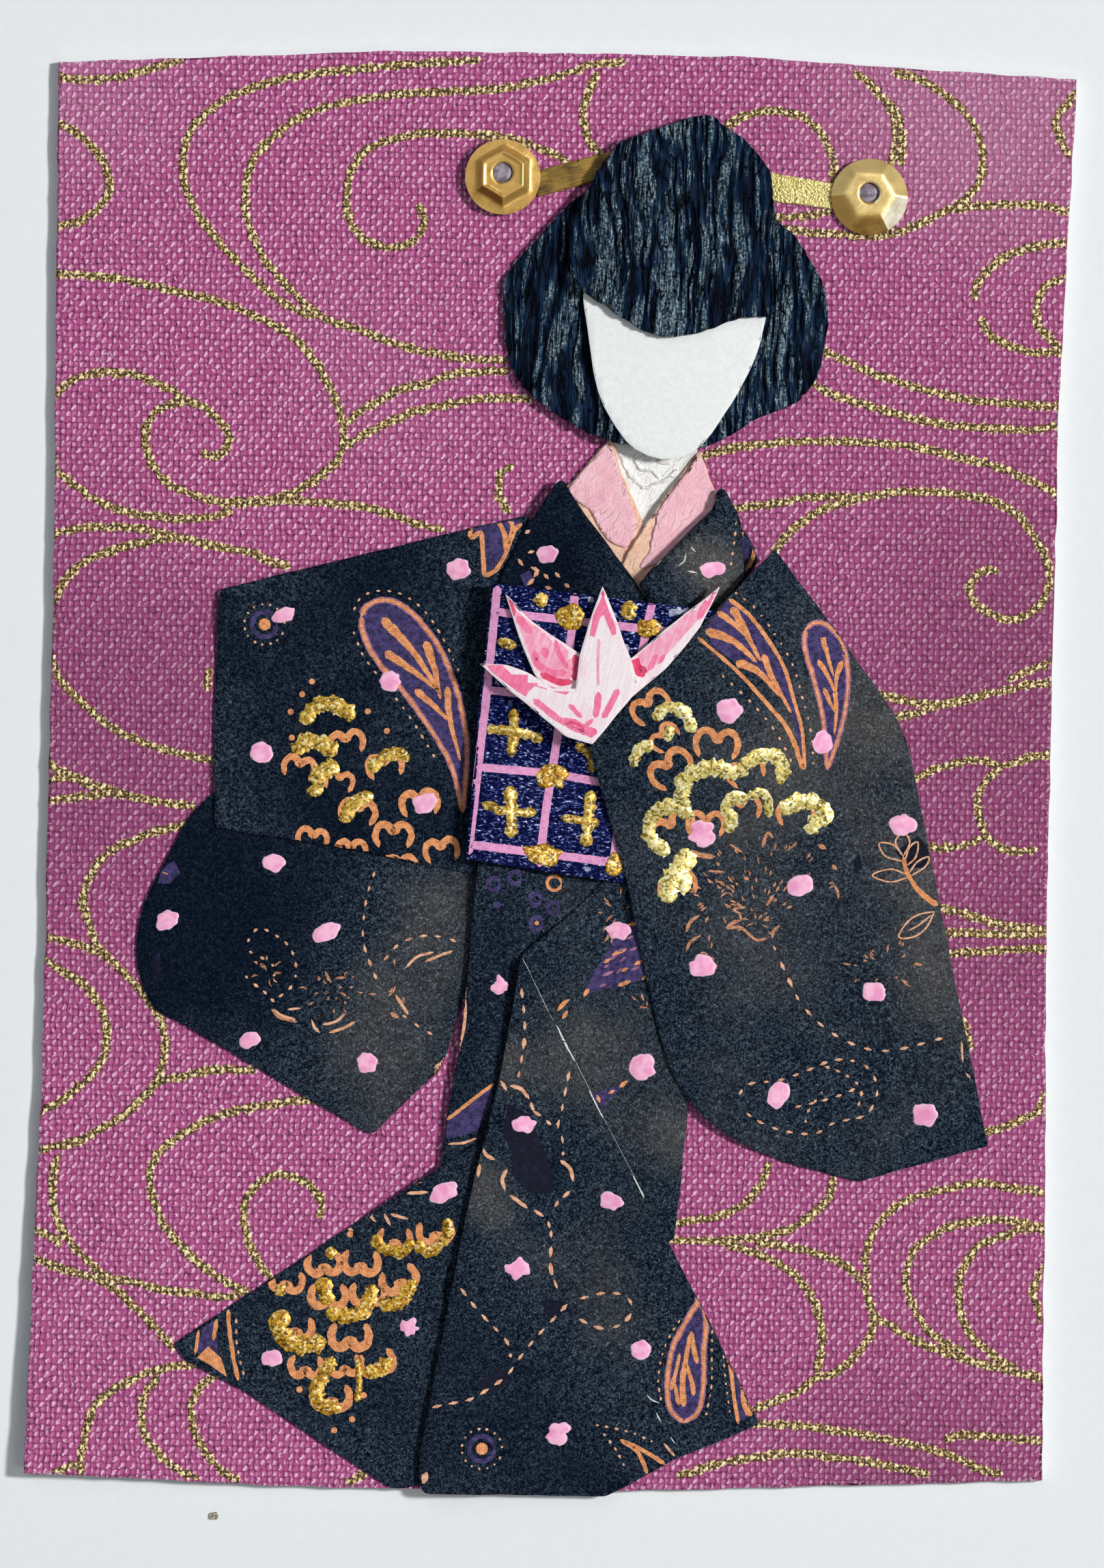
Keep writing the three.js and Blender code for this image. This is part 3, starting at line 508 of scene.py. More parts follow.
cloth_gold = material("gold_cloth_print", paint_cloth_gold)
gold_lines = [
    [(-31.4, 42.7), (-29, 42.6), (-27, 42.9), (-25, 43.5), (-23.5, 43.9)],
    [(-31.2, 39.8), (-30, 39.2), (-28.9, 38.2), (-28.1, 36.9), (-28, 35.7), (-28.6, 34.7),
      (-29.6, 33.9), (-31.2, 33.4)],
    [(-5, 44.2), (-10, 43.8), (-13.5, 43.4), (-16.5, 43), (-19, 42.3), (-21, 41.4), (-22.8, 39.8),
      (-23.4, 37.8), (-23.3, 36.2), (-22.5, 34.4), (-21, 32.5), (-19.5, 31), (-18, 29.6),
      (-16.5, 28.6), (-15, 28.1)],
    [(4, 44.2), (2, 44), (0.5, 43.5), (-2, 42.8), (-4, 42.4), (-7, 42.2), (-10, 42), (-13, 41.5),
      (-15.5, 40.8), (-17.5, 39.5), (-19, 37.9), (-19.5, 36), (-19.4, 34.2), (-18.7, 32.3),
      (-17.7, 30.9), (-16.3, 29.4), (-14.5, 28), (-12, 27.2), (-9.5, 26.3), (-7, 25.8), (-5, 25.6),
      (-3, 25.6)],
    [(-8.8, 35.2), (-8.4, 34.4), (-8.6, 33.3), (-9.6, 32.6), (-10.8, 32.5), (-12.2, 33),
      (-13, 34.1), (-13.2, 35.6), (-13, 37), (-12.2, 38.3), (-11, 39), (-9, 39.5), (-6.5, 39.6),
      (-3.5, 39.4), (-1, 38.7), (0.6, 37.9)],
    [(-31.4, 30.5), (-29, 30.4), (-27, 30.2), (-24, 29.6), (-21, 28.9), (-18, 27.7), (-16, 26.4),
      (-14.5, 24.5), (-13.5, 22.3), (-13.2, 20.5), (-13.5, 19.2), (-15, 17.9), (-16.5, 17),
      (-18.5, 16.6), (-20.5, 16.5)],
    [(-13.1, 21.5), (-12, 22.3), (-10, 23.5), (-8, 24.1), (-6, 24.7), (-3, 24.9)],
    [(-13.1, 20.1), (-11.5, 21), (-9, 22.2), (-6.5, 22.8), (-4, 23.2), (-1.5, 23.1)],
    [(-31.3, 22.8), (-30, 23.9), (-28.3, 24.4), (-26, 24.2), (-24, 23.4), (-23, 22.7)],
    [(-22, 19.7), (-21.5, 19.3), (-20.7, 19.5), (-20.3, 20.4), (-20.8, 21.4), (-22, 22.4),
      (-23.5, 22.6), (-25, 21.9), (-25.5, 20.5), (-25.2, 19), (-24.3, 17.8), (-22.8, 17),
      (-21, 16.5), (-19.5, 16.4), (-17, 16.6)],
    [(-31.4, 18.6), (-30, 17.5), (-28.5, 16.5), (-26.8, 15.8), (-24.8, 15.5), (-22.8, 15.4),
      (-21, 15.6), (-20, 16)], [(-2.6, 19.1), (-3.4, 18.4), (-3.4, 17), (-2.8, 16)],
    [(-17, 16.6), (-14, 16.5), (-12, 16.3), (-10, 15.8), (-8.5, 15.3), (-6.8, 14.9)],
    [(-31.4, 14.3), (-29.5, 14.7), (-27, 14.8), (-25, 14.6), (-23, 14.2), (-21.5, 13.8),
      (-19, 13.4), (-17.5, 12.8), (-16.3, 12.5)],
    [(-23, 14.2), (-25, 14), (-27, 13.5), (-29, 12.7), (-30.3, 11.5), (-31.1, 10), (-31.3, 8.5),
      (-31.2, 6.8), (-30.5, 5.2), (-29, 3.7), (-27.5, 2.5), (-25.5, 1.5), (-23.5, 0.9),
      (-20.5, 0.3)], [(-21.3, 6.2), (-21.4, 4.7)],
    [(-31.4, 0.1), (-30, -0.6), (-28.5, -1.2), (-26.5, -1.8), (-24.5, -2.2), (-22, -2.5)],
    [(-31.3, -1), (-30, -0.8), (-28.5, -1.1)],
    [(-31.3, -2.3), (-29.5, -2), (-27.5, -1.8), (-26, -1.9)],
    [(-22.5, -3.6), (-24.2, -4), (-26, -4.7), (-27.5, -5.5), (-28.4, -6.7), (-28.9, -8.2),
      (-28.6, -9.7), (-28.1, -11), (-27.3, -12), (-26.2, -13), (-25, -14.3), (-24.1, -15.5),
      (-23.7, -17), (-23.8, -18.4), (-24.2, -19.6), (-25.2, -20.8), (-26.3, -21.8), (-27.7, -22.7),
      (-29, -23.4), (-31.2, -23.9)], [(-31.3, -10.7), (-29.5, -11.1), (-28, -11.6), (-27.2, -12)],
    [(-31.2, -12.2), (-30, -12.9), (-29.2, -13.4), (-28.2, -14.3), (-27.5, -15.6), (-27.3, -17.2),
      (-27.8, -18.7), (-29, -20), (-30.1, -20.9), (-31.2, -21.5)],
    [(-24.2, -19.6), (-22.6, -19.3), (-21.3, -18.9), (-20, -18.8), (-18, -18.8)],
    [(-14, -20.5), (-16.4, -20.8), (-18.2, -21.1), (-20, -21.6), (-21.5, -22.2), (-23, -23.2),
      (-24.1, -24.2), (-24.5, -25.5), (-24.2, -27.1), (-23.5, -28.6), (-22.3, -30), (-20.8, -31.3),
      (-19.5, -32.1), (-18.2, -32.7)],
    [(-13.9, -28), (-13.8, -26.9), (-14.5, -26), (-15.6, -25.4), (-16.7, -25.3), (-17.8, -25.9),
      (-18.5, -26.9), (-18.6, -28.2), (-18.2, -29.7), (-17.5, -31), (-16.7, -31.9)],
    [(-30.2, -24.2), (-30.5, -25.5), (-30.5, -26.9), (-30.2, -28.4), (-29.4, -29.7),
      (-28.3, -30.8), (-27.2, -31.7), (-25.5, -32.1), (-23.7, -32.5), (-21.9, -32.7),
      (-20.2, -32.9), (-18.7, -32.8)], [(-31.5, -29), (-30.7, -29.3), (-29.9, -29.9)],
    [(-31.5, -30.7), (-30.3, -31.2), (-28.8, -31.6), (-27.2, -32.1), (-25.9, -33.1),
      (-24.8, -34.1), (-23.9, -35), (-22.8, -36.3)],
    [(-21.3, -37.1), (-22.8, -37.3), (-24.4, -37.7), (-25.9, -38.4), (-27.2, -39.3), (-28, -40.5),
      (-28.3, -41.8), (-28.5, -43.1), (-28.4, -44.1)], [(-28.8, -43.4), (-30.3, -44.1)],
    [(-23.7, -37.9), (-24.5, -38.9), (-24.8, -40.1), (-24.6, -41.4), (-23.8, -42.6),
      (-22.6, -43.6), (-21.1, -44.3)],
    [(-20, -37.7), (-21.3, -38.7), (-21.7, -40.1), (-21.4, -41.5), (-20.6, -42.8), (-19.5, -43.9),
      (-18.6, -44.3)], [(-10.7, -43.7), (-12, -44.4)],
    [(2.3, 43.6), (1.7, 42.3), (1.4, 40.8), (1.8, 39.3), (2.9, 38)],
    [(10.2, 40.2), (11.3, 40.9), (12.8, 41.3), (14.3, 41.2), (15.6, 40.6), (16.5, 39.5),
      (17, 38.2), (17, 36.8)],
    [(18.2, 43.8), (19.3, 43), (20.4, 41.7), (20.9, 40.2), (20.7, 38.6), (20, 37)],
    [(20, 42.3), (21, 41), (21.3, 39.4), (21.2, 38)],
    [(20.6, 43.8), (22, 43.5), (23.5, 42.7), (25, 41.5), (26, 40), (26.3, 38.3), (26, 36.9),
      (25, 35.8), (23.5, 35), (21.5, 34), (19.5, 33.6), (17.5, 33.7), (15.5, 33.8), (13.8, 34)],
    [(13.4, 34.6), (15, 34.8), (17, 35.1)],
    [(24.6, 35.3), (26, 35.6), (28, 35.7), (30, 35.7), (31.4, 35.4)],
    [(31.5, 42), (30.8, 41), (31, 40), (31.6, 39)],
    [(31.4, 33.4), (30, 33.2), (28, 32.6), (26.7, 31.6), (26, 30.5), (26, 29.7)],
    [(26.2, 28.7), (27, 27.5), (28.5, 26.8), (30, 26.5), (31.4, 26.7)],
    [(31.3, 31.2), (30.3, 30.6), (29.8, 29.5), (29.9, 28.3), (30.6, 27.4), (31.3, 26.9)],
    [(15.8, 26.8), (18, 25.8), (20, 25), (23, 24.1), (26, 23.5), (29, 23.3), (31.3, 23.2)],
    [(15.2, 24.9), (17, 23.8), (19, 23.2), (21.5, 22.5), (24, 22), (27, 21.8), (29.5, 21.7),
      (31.3, 22.1)],
    [(8.8, 19.7), (11, 20.3), (13, 20.6), (16, 20.8), (19, 20.8), (22, 20.6), (25, 20),
      (27.5, 19.4), (29.5, 18.6), (31.2, 17.8)],
    [(11, 16.5), (13.5, 16.9), (15.3, 17.25), (17.2, 17.4), (19.1, 17.4), (21.2, 17.7),
      (23.3, 17.8), (25.2, 17.65), (27.1, 17.3), (28.7, 16.5), (29.7, 15.3), (30.5, 14),
      (30.9, 12.7), (30.5, 11.2), (29.6, 10.3), (28.4, 9.9), (27.1, 10.3), (26.1, 11.1),
      (25.9, 12), (26.4, 12.7), (27.1, 13), (27.7, 12.9)],
    [(13.6, 13.8), (14.7, 15.2), (15.7, 16), (16.9, 16.7), (18.3, 17.1), (19.5, 17.5)],
    [(20, 5.2), (21.7, 4.85), (23.3, 4.6), (24.9, 4.7), (26.5, 5.1), (28.1, 5.5), (29.7, 5.9),
      (31.1, 6.1)], [(21.3, 3.7), (22.8, 4.05), (24.1, 4.5)],
    [(28.3, 6.1), (29.5, 6.7), (30.5, 7.1), (31.1, 7.4)],
    [(22.4, -0.1), (24.1, 0.6), (25.5, 1), (26.7, 1.15), (27.9, 0.85), (28.7, 1), (30, 1.4),
      (31, 1.55)],
    [(28.1, 0.75), (27.2, 0), (26.6, -1.1), (26.7, -2.3), (27.1, -3.5), (28.1, -4.3), (29.2, -4.5),
      (30.4, -4.3)], [(23.5, -4.3), (24.9, -4.3), (26, -4.1), (26.9, -3.6)],
    [(24, -7.9), (25.7, -8.4), (27.3, -8.8), (29.2, -9.2), (31, -9.3)],
    [(24.4, -9.6), (26.5, -9.6), (28.7, -9.65), (31, -9.5)],
    [(24.8, -10.9), (26.5, -10.8), (28.7, -10.6), (31, -10.5)],
    [(25.8, -14.8), (26.2, -16), (26.35, -16.9)],
    [(27.2, -22), (28.6, -21.6), (29.6, -21.1), (30.6, -20.6), (30.9, -20)],
    [(7.8, -28), (9.5, -27.7), (10.7, -27.5), (11.9, -27), (12.9, -26.2), (13.6, -25.2),
      (14, -24)],
    [(7.8, -28.9), (9.9, -29), (11.5, -28.9), (13.1, -28.7), (14.6, -28.4), (16, -27.8), (17, -27),
      (17.7, -26.2), (18, -24.8)],
    [(13.1, -29), (14.8, -29.2), (16.4, -29.5), (17.8, -29.9), (19, -30.5), (19.8, -31.3)],
    [(11.3, -29.2), (12.7, -29.5), (14.15, -30.1), (15.6, -31), (16.5, -32), (17.1, -33.1),
      (17.4, -34.3), (17.4, -35.7), (17.15, -37.2)],
    [(13.2, -39.4), (14.8, -38.8), (16.1, -38.2), (17.2, -37.4), (18.4, -37), (19.4, -36.1),
      (20.25, -35), (20.6, -33.9), (20.45, -32.9), (20.1, -31.7), (20.1, -30.5), (20.2, -29.2),
      (20.7, -28), (21.3, -27.2), (22.5, -26.3), (23.9, -25.8), (25.5, -25.4), (27.2, -25.1),
      (29, -25.4), (30.9, -25.6)],
    [(20.6, -33.5), (21.9, -34.2), (23.1, -34.9), (24.5, -35.5), (26.1, -36), (28, -36.5),
      (29.8, -36.9), (30.8, -37.1)],
    [(30.9, -27.9), (30, -27.6), (28.6, -27.4), (27.2, -27.5), (25.5, -27.8), (24.1, -28.5),
      (23.1, -29.4), (22.65, -30.7), (22.7, -31.9), (23.2, -33.1), (23.9, -34.2), (24.9, -35),
      (26.35, -35.7)],
    [(30.9, -27.8), (29.6, -28), (28.4, -28.5), (27.1, -29), (26.35, -30), (25.9, -31.3),
      (25.9, -32.5), (26.25, -33.9), (27.2, -35.1), (28.2, -35.9), (29.5, -36.7)],
    [(30.9, -30.8), (30.6, -31.4), (30.5, -32.1), (30.9, -33)],
    [(13, -40.3), (14.8, -40.3), (16.4, -40.4), (18, -40.6), (19.6, -40.8), (21.3, -41.1),
      (22.9, -41.4), (24.5, -41.8), (25.9, -42.2), (27.4, -42.9), (28.8, -43.2)],
    [(25.1, -41.1), (26.5, -40.8), (28.4, -40.9), (30, -41), (30.7, -41.1)],
    [(8.5, -43.6), (9.7, -43.3), (11.1, -42.8), (12.7, -42.5), (14.6, -42.2), (16.4, -42.1),
      (18.2, -42.3), (20, -42.5), (21.7, -42.8), (23.3, -43.1), (24.3, -43.3)],
]
side_edge = 30.5
lines = bmesh.new()
for points in gold_lines:
    for end, inner in ((0, 1), (-1, -2)):
        last = Vector(points[end])
        if abs(last.x) > side_edge:
            run_on = last + (last - Vector(points[inner])).normalized()
            points.insert(0 if end == 0 else len(points), run_on)
    band(lines, tops["cloth"], points, 0.51, lift=0.02, dome=0.04, wobble=0.8, pitch=0.12)
piece("cloth_gold_print", lines, [cloth_gold])

side_border, inside, long_ones, longer = 29, 0.25, 0.12, 2.2
frayed = bmesh.new()
chance = random.Random(11)
border = hand_cut(outline_of("cloth_cover"), 0.1)
for k in range(1000):
    a = border[chance.randrange(len(border))]
    if abs(a.x) > side_border:
        out = Vector((math.copysign(1, a.x), 0))
    else:
        out = Vector((0, math.copysign(1, a.y)))
    along = Vector((-out.y, out.x)) * chance.uniform(-0.35, 0.35)
    reach = chance.uniform(0.06, 0.3) * (longer if chance.random() < long_ones else 1)
    points = [a - out * inside, a + out * reach * 0.3 + along * 0.5, a + out * reach + along]
    band(frayed, tops["cloth"], points, 0.09, lift=0.0, dome=0.05, ends=(1, 0.5), pitch=0.2)
lint = [(-28.4, 25.0), (-28.2, 25.5), (-27.8, 25.6), (-27.6, 25.3)]
band(frayed, tops["cloth"], lint, 0.07, lift=0.03, dome=0.04, pitch=0.1)
piece("cloth_frayed_threads", frayed, [thread])


# Hairpins: two strips of gold-coated paper, glued to the cloth, whose inner ends go behind the
# crown. The left one is dull and smooth, and the right one has a crinkled bright leaf.


def paint_dull_gold(s):
    p = place(s)
    stain = cloud(p, 0.9, 3.0)
    brushed = fibres(p, 15, 0.06, 0.8)
    colour = mix("#4E3A12", "#A8843A", rise(stain * 0.6 + brushed * 0.4, 0.3, 0.65))
    return surface(colour, 0.45, bump(brushed + stain, 0.02), Metallic=0.5)


def paint_gold_leaf(s):
    p = place(s)
    crinkle = s.node(
        "ShaderNodeTexVoronoi", {"feature": "F1"}, {"Vector": p, "Scale": 7.0, "Randomness": 1.0},
    )
    soft = cloud(p, 4.0, 3.0)
    # Painted reflections: the crinkles and soft patches of the leaf are brighter, up to near-white
    # highlights.
    shine = rise(crinkle * 0.7 + soft * 0.6, 0.3, 0.75)
    colour = mix("#A58A3A", "#EBD98C", shine)
    colour = mix(colour, "#FFF9D6", rise(soft, 0.6, 0.75))
    return surface(colour, 0.35, bump(crinkle + soft, 0.06), Metallic=0.45)


def crumpled(x, y, size=1.0, depth=0.05, seed=0.0):
    """A crumple's height: creases where folded noise turns."""
    first = abs(noise.noise((x * size, y * size, seed)))
    second = abs(noise.noise((x * size * 2.3, y * size * 2.3, seed + 4)))
    return depth * (first * 1.6 + second * 0.7 - 0.4)


gold_strip = material("dull_gold_paper", paint_dull_gold)
gold_leaf = material("gold_leaf_paper", paint_gold_leaf)
sheet("hairpin_left_strip", "hairpin_left", [gold_strip], step=(0.3, 0.3))
sheet(
    "hairpin_right_strip", "hairpin_right", [gold_leaf], step=(0.2, 0.2),
    relief=lambda x, y: crumpled(x, y, 2.2, 0.06, 3.0), torn=0.05,
)


# Neck: a strip of white washi that is glued down behind the collars and runs on to the sash. It
# is creased by hand, and its torn fibres stand up along the creases at the throat.


def paint_washi(pale, deep):
    """Hand-made paper of one tint, with long soft fibres pressed into it."""
    def paint(s):
        p = place(s)
        long = s.math("MAXIMUM", fibres(p, 35, 0.07, 1.6), fibres(p, -50, 0.06, 1.3))
        mottle = cloud(p, 0.8, 3.0)
        fine = cloud(p, 7.0, 2.0)
        colour = mix(deep, pale, rise(mottle * 0.5 + long * 0.35 + fine * 0.25, 0.38, 0.68))
        # Painted shade: the paper turns grey in the low creases of its relief.
        crease_shade = 1.0 - rise(attribute(s, "crest") + (fine - 0.5) * 0.03, -0.11, -0.06)
        colour = mix(colour, "#A39C94", crease_shade * 0.55)
        # Painted shade along fold and wrinkle lines, which are also bumped.
        fold = s.math("ABSOLUTE", fibres(p, 48, 0.55, 1.5) - 0.5)
        wrinkle = s.math("ABSOLUTE", fibres(p, 75, 0.4, 1.1) - 0.5)
        wrinkle_lines = (1.0 - rise(fold, 0.0, 0.035)) * rise(mottle, 0.4, 0.6)
        wrinkle_lines += (1.0 - rise(wrinkle, 0.0, 0.03)) * 0.4
        colour = mix(colour, deep, rise(wrinkle_lines, 0.1, 0.9) * 0.45)
        return surface(colour, 0.9, bump(long * 0.6 + fine * 0.5 - wrinkle_lines * 0.8, 0.045))
    return paint


white_washi = material("white_washi", paint_washi("#FCFBF8", "#E6E4DF"))
sheet(
    "neck", "neck_strip", [white_washi], step=(0.22, 0.22), torn=0.06,
    relief=lambda x, y: crumpled(x, y, 0.5, 0.2, 6.0) + crumpled(x, y, 1.7, 0.09, 2.0),
)
creases = bmesh.new()
for points, width in (
    ([(4, 20), (4.3, 19.2), (4.7, 18.5), (5.6, 17.7)], 0.3),
    ([(5.5, 17.7), (6.2, 18), (7, 18.4), (7.7, 18.9)], 0.26),
    ([(4.9, 19.6), (5.3, 18.9), (6, 18.8), (6.5, 18.3)], 0.2),
    ([(5.7, 20.2), (6.4, 19.4), (7.2, 19.2)], 0.2),
):
    band(creases, tops["neck"], points, width, dome=0.16, columns=4, wobble=1.2, pitch=0.15,
         lump=0.14)
piece("neck_torn_creases", creases, [white_washi])


# Back of the kimono: black printed washi, glued to the cloth, which shows past the right
# shoulder. All the kimono's pieces are cut from such paper and dotted by hand with pink paint.


def crossed(p):
    """The washi's two crossed lays of fibres."""
    return p.math("MAXIMUM", fibres(p, 30, 0.055, 0.5), fibres(p, -35, 0.05, 0.45))


def paint_black(s):
    p = place(s)
    strands = s.math("MAXIMUM", crossed(p), fibres(p, 85, 0.05, 0.4))
    grain = cloud(p, 9.0, 2.0)
    speck = cloud(p, 4.5, 3.0, 0.75)
    wear_and_sheen_noise = cloud(p, 0.35, 3.0)
    broad = cloud(p, 0.11, 2.0)
    # The mask below is real wear and painted sheen: it lifts the fibre specks and turns the paper
    # olive-grey where it faced the light.
    wear_and_light = rise(attribute(s, "wear_and_light") + (wear_and_sheen_noise - 0.5) * 0.6 + (broad - 0.5) * 1.4, 0.0, 1.2)
    tone = strands * 0.5 + grain * 0.25 + speck * 0.35 + wear_and_light * 0.05
    colour = mix("#000412", "#0C1826", rise(tone, 0.48, 0.58))
    colour = mix(colour, "#3B4855", rise(tone, 0.57, 0.66))
    colour = mix(colour, "#AEB6BC", rise(tone, 0.67, 0.78) * (wear_and_light * 0.7 + 0.35))
    colour = mix(colour, "#57514A", wear_and_light * rise(tone, 0.36, 0.62) * 0.7)
    # Painted shade: the paper turns blue-black where the spots are below 0, where it lay in shadow.
    painted_shade = 1.0 - rise(attribute(s, "wear_and_light") + (broad - 0.5) * 1.6, -0.65, 0.05)
    colour = mix(colour, "#00091C", painted_shade * 0.8)
    return surface(colour, 0.8, bump(strands + speck * 0.6, 0.04), **{shine_level: 0.05})


def paint_core(s):
    p = place(s)
    pulp = cloud(p, 6.0, 3.0)
    colour = mix("#1B1F22", "#8A8C8A", rise(pulp, 0.45, 0.75))
    return surface(colour, 0.9, bump(pulp, 0.02))


black = material("black_washi", paint_black)
core = material("black_washi_edge", paint_core)


def paint_ink(bright, deep, hold):
    """Printed ink: a diagonal screen of small dots, thin where the fibres stand out."""
    screen_turns = 44.0

    def paint(s):
        p = place(s)
        turned = s.node("ShaderNodeMapping", {}, {"Vector": p, "Rotation": (0, 0, 0.8)})
        rows = s.math("SINE", coordinate(turned, "X") * screen_turns)
        screen = rows * s.math("SINE", coordinate(turned, "Y") * screen_turns)
        strands = crossed(p)
        tone = screen * 0.12 + strands * 0.5 + cloud(p, 3.0, 2.0) * 0.4
        colour = mix(deep, bright, rise(tone, hold, hold + 0.22))
        return surface(colour, 0.7, bump(strands, 0.03), **{shine_level: 0.15})
    return paint


def paint_dab(s):
    p = place(s)
    brushed = cloud(p, 1.6, 2.0)
    colour = mix("#EE98C2", "#F8B8D4", rise(brushed, 0.35, 0.65))
    colour = mix(colour, "#FBD3E6", rise(attribute(s, "edge"), 0.75, 0.97) * 0.6)
    relief = brushed + cloud(p, 6.0, 2.0) * 0.2
    return surface(colour, 0.5, bump(relief, 0.03), **{shine_level: 0.4})


def paint_glitter(dark, middle, bright, glint_amount):
    """Glitter paint: single flakes in a clear glue. Each flake's own brightness is a painted
    reflection, and the last argument sets the share of near-white painted glints.
    """
    flakes_per_mm = 7.5

    def paint(s):
        p = place(s)
        flakes = {"Vector": p, "Scale": flakes_per_mm}
        cell = s.node("ShaderNodeTexVoronoi", {}, flakes, "Color")
        chance = s.node("ShaderNodeSeparateColor", {}, {"Color": cell}, "Red")
        away = s.node("ShaderNodeTexVoronoi", {}, flakes)
        glue = cloud(p, 1.7, 3.0)
        tone = chance * 0.6 + glue * 0.7 - away * 0.3
        colour = mix(dark, middle, rise(tone, 0.2, 0.42))
        colour = mix(colour, bright, rise(tone, 0.48, 0.75))
        # Painted glints on the brightest flakes.
        colour = mix(colour, "#FFF8D0", rise(chance + glue * 0.4, 0.98, 1.1) * glint_amount)
        return surface(colour, 0.4, bump(chance + glue, 0.035), Metallic=0.3)
    return paint


inks = [
    material("orange_ink", paint_ink("#F7AA72", "#AE6942", 0.35)),
    material("purple_ink", paint_ink("#564A80", "#201A3A", 0.38)),
    material("faint_orange_ink", paint_ink("#F6BE9A", "#AE7452", 0.33)),
    material("dull_purple_ink", paint_ink("#2A2C58", "#04081A", 0.5)),
    material("bare_cut_edge", paint_ink("#E4E2DE", "#8F9090", 0.3)),
    material("rose_ink", paint_ink("#B87C94", "#6E4668", 0.35)),
    material("thin_orange_ink", paint_ink("#DE9E78", "#7E523C", 0.36)),
]
orange, purple, faint, dull, bare, rose, thin = range(7)
dab = material("pink_dab_paint", paint_dab)
glitters = [
    material("deep_gold_glitter", paint_glitter("#5E450C", "#BE9228", "#EACA5C", 0.5)),
    material("ochre_gold_glitter", paint_glitter("#5E3C04", "#BC8612", "#EEC43C", 0.5)),
    material("pale_gold_glitter", paint_glitter("#75611E", "#DEC766", "#FFF6B8", 1.0)),
]
deep_gold, ochre_gold, pale_gold = range(3)


def flat(bm, over, outline, lift, slot=0, step=0.5):
    """A thin closed film of ink or paint with that outline, pressed onto a surface."""
    foot = 0.03
    part = divided(outline, step, step)
    pairs = {}
    for v in part.verts:
        x, y, z = settle(over, v.co.x, v.co.y)
        pairs[v] = (bm.verts.new((x, y, z + lift)), bm.verts.new((x, y, z - foot)))
    made = []
    for f in part.faces:
        made.append(bm.faces.new([pairs[v][0] for v in f.verts]))
        made.append(bm.faces.new([pairs[v][1] for v in reversed(f.verts)]))
    for e in part.edges:
        if e.is_boundary:
            a, b = (pairs[v] for v in e.verts)
            made.append(bm.faces.new((a[0], b[0], b[1], a[1])))
    for f in made:
        f.material_index = slot
    part.free()


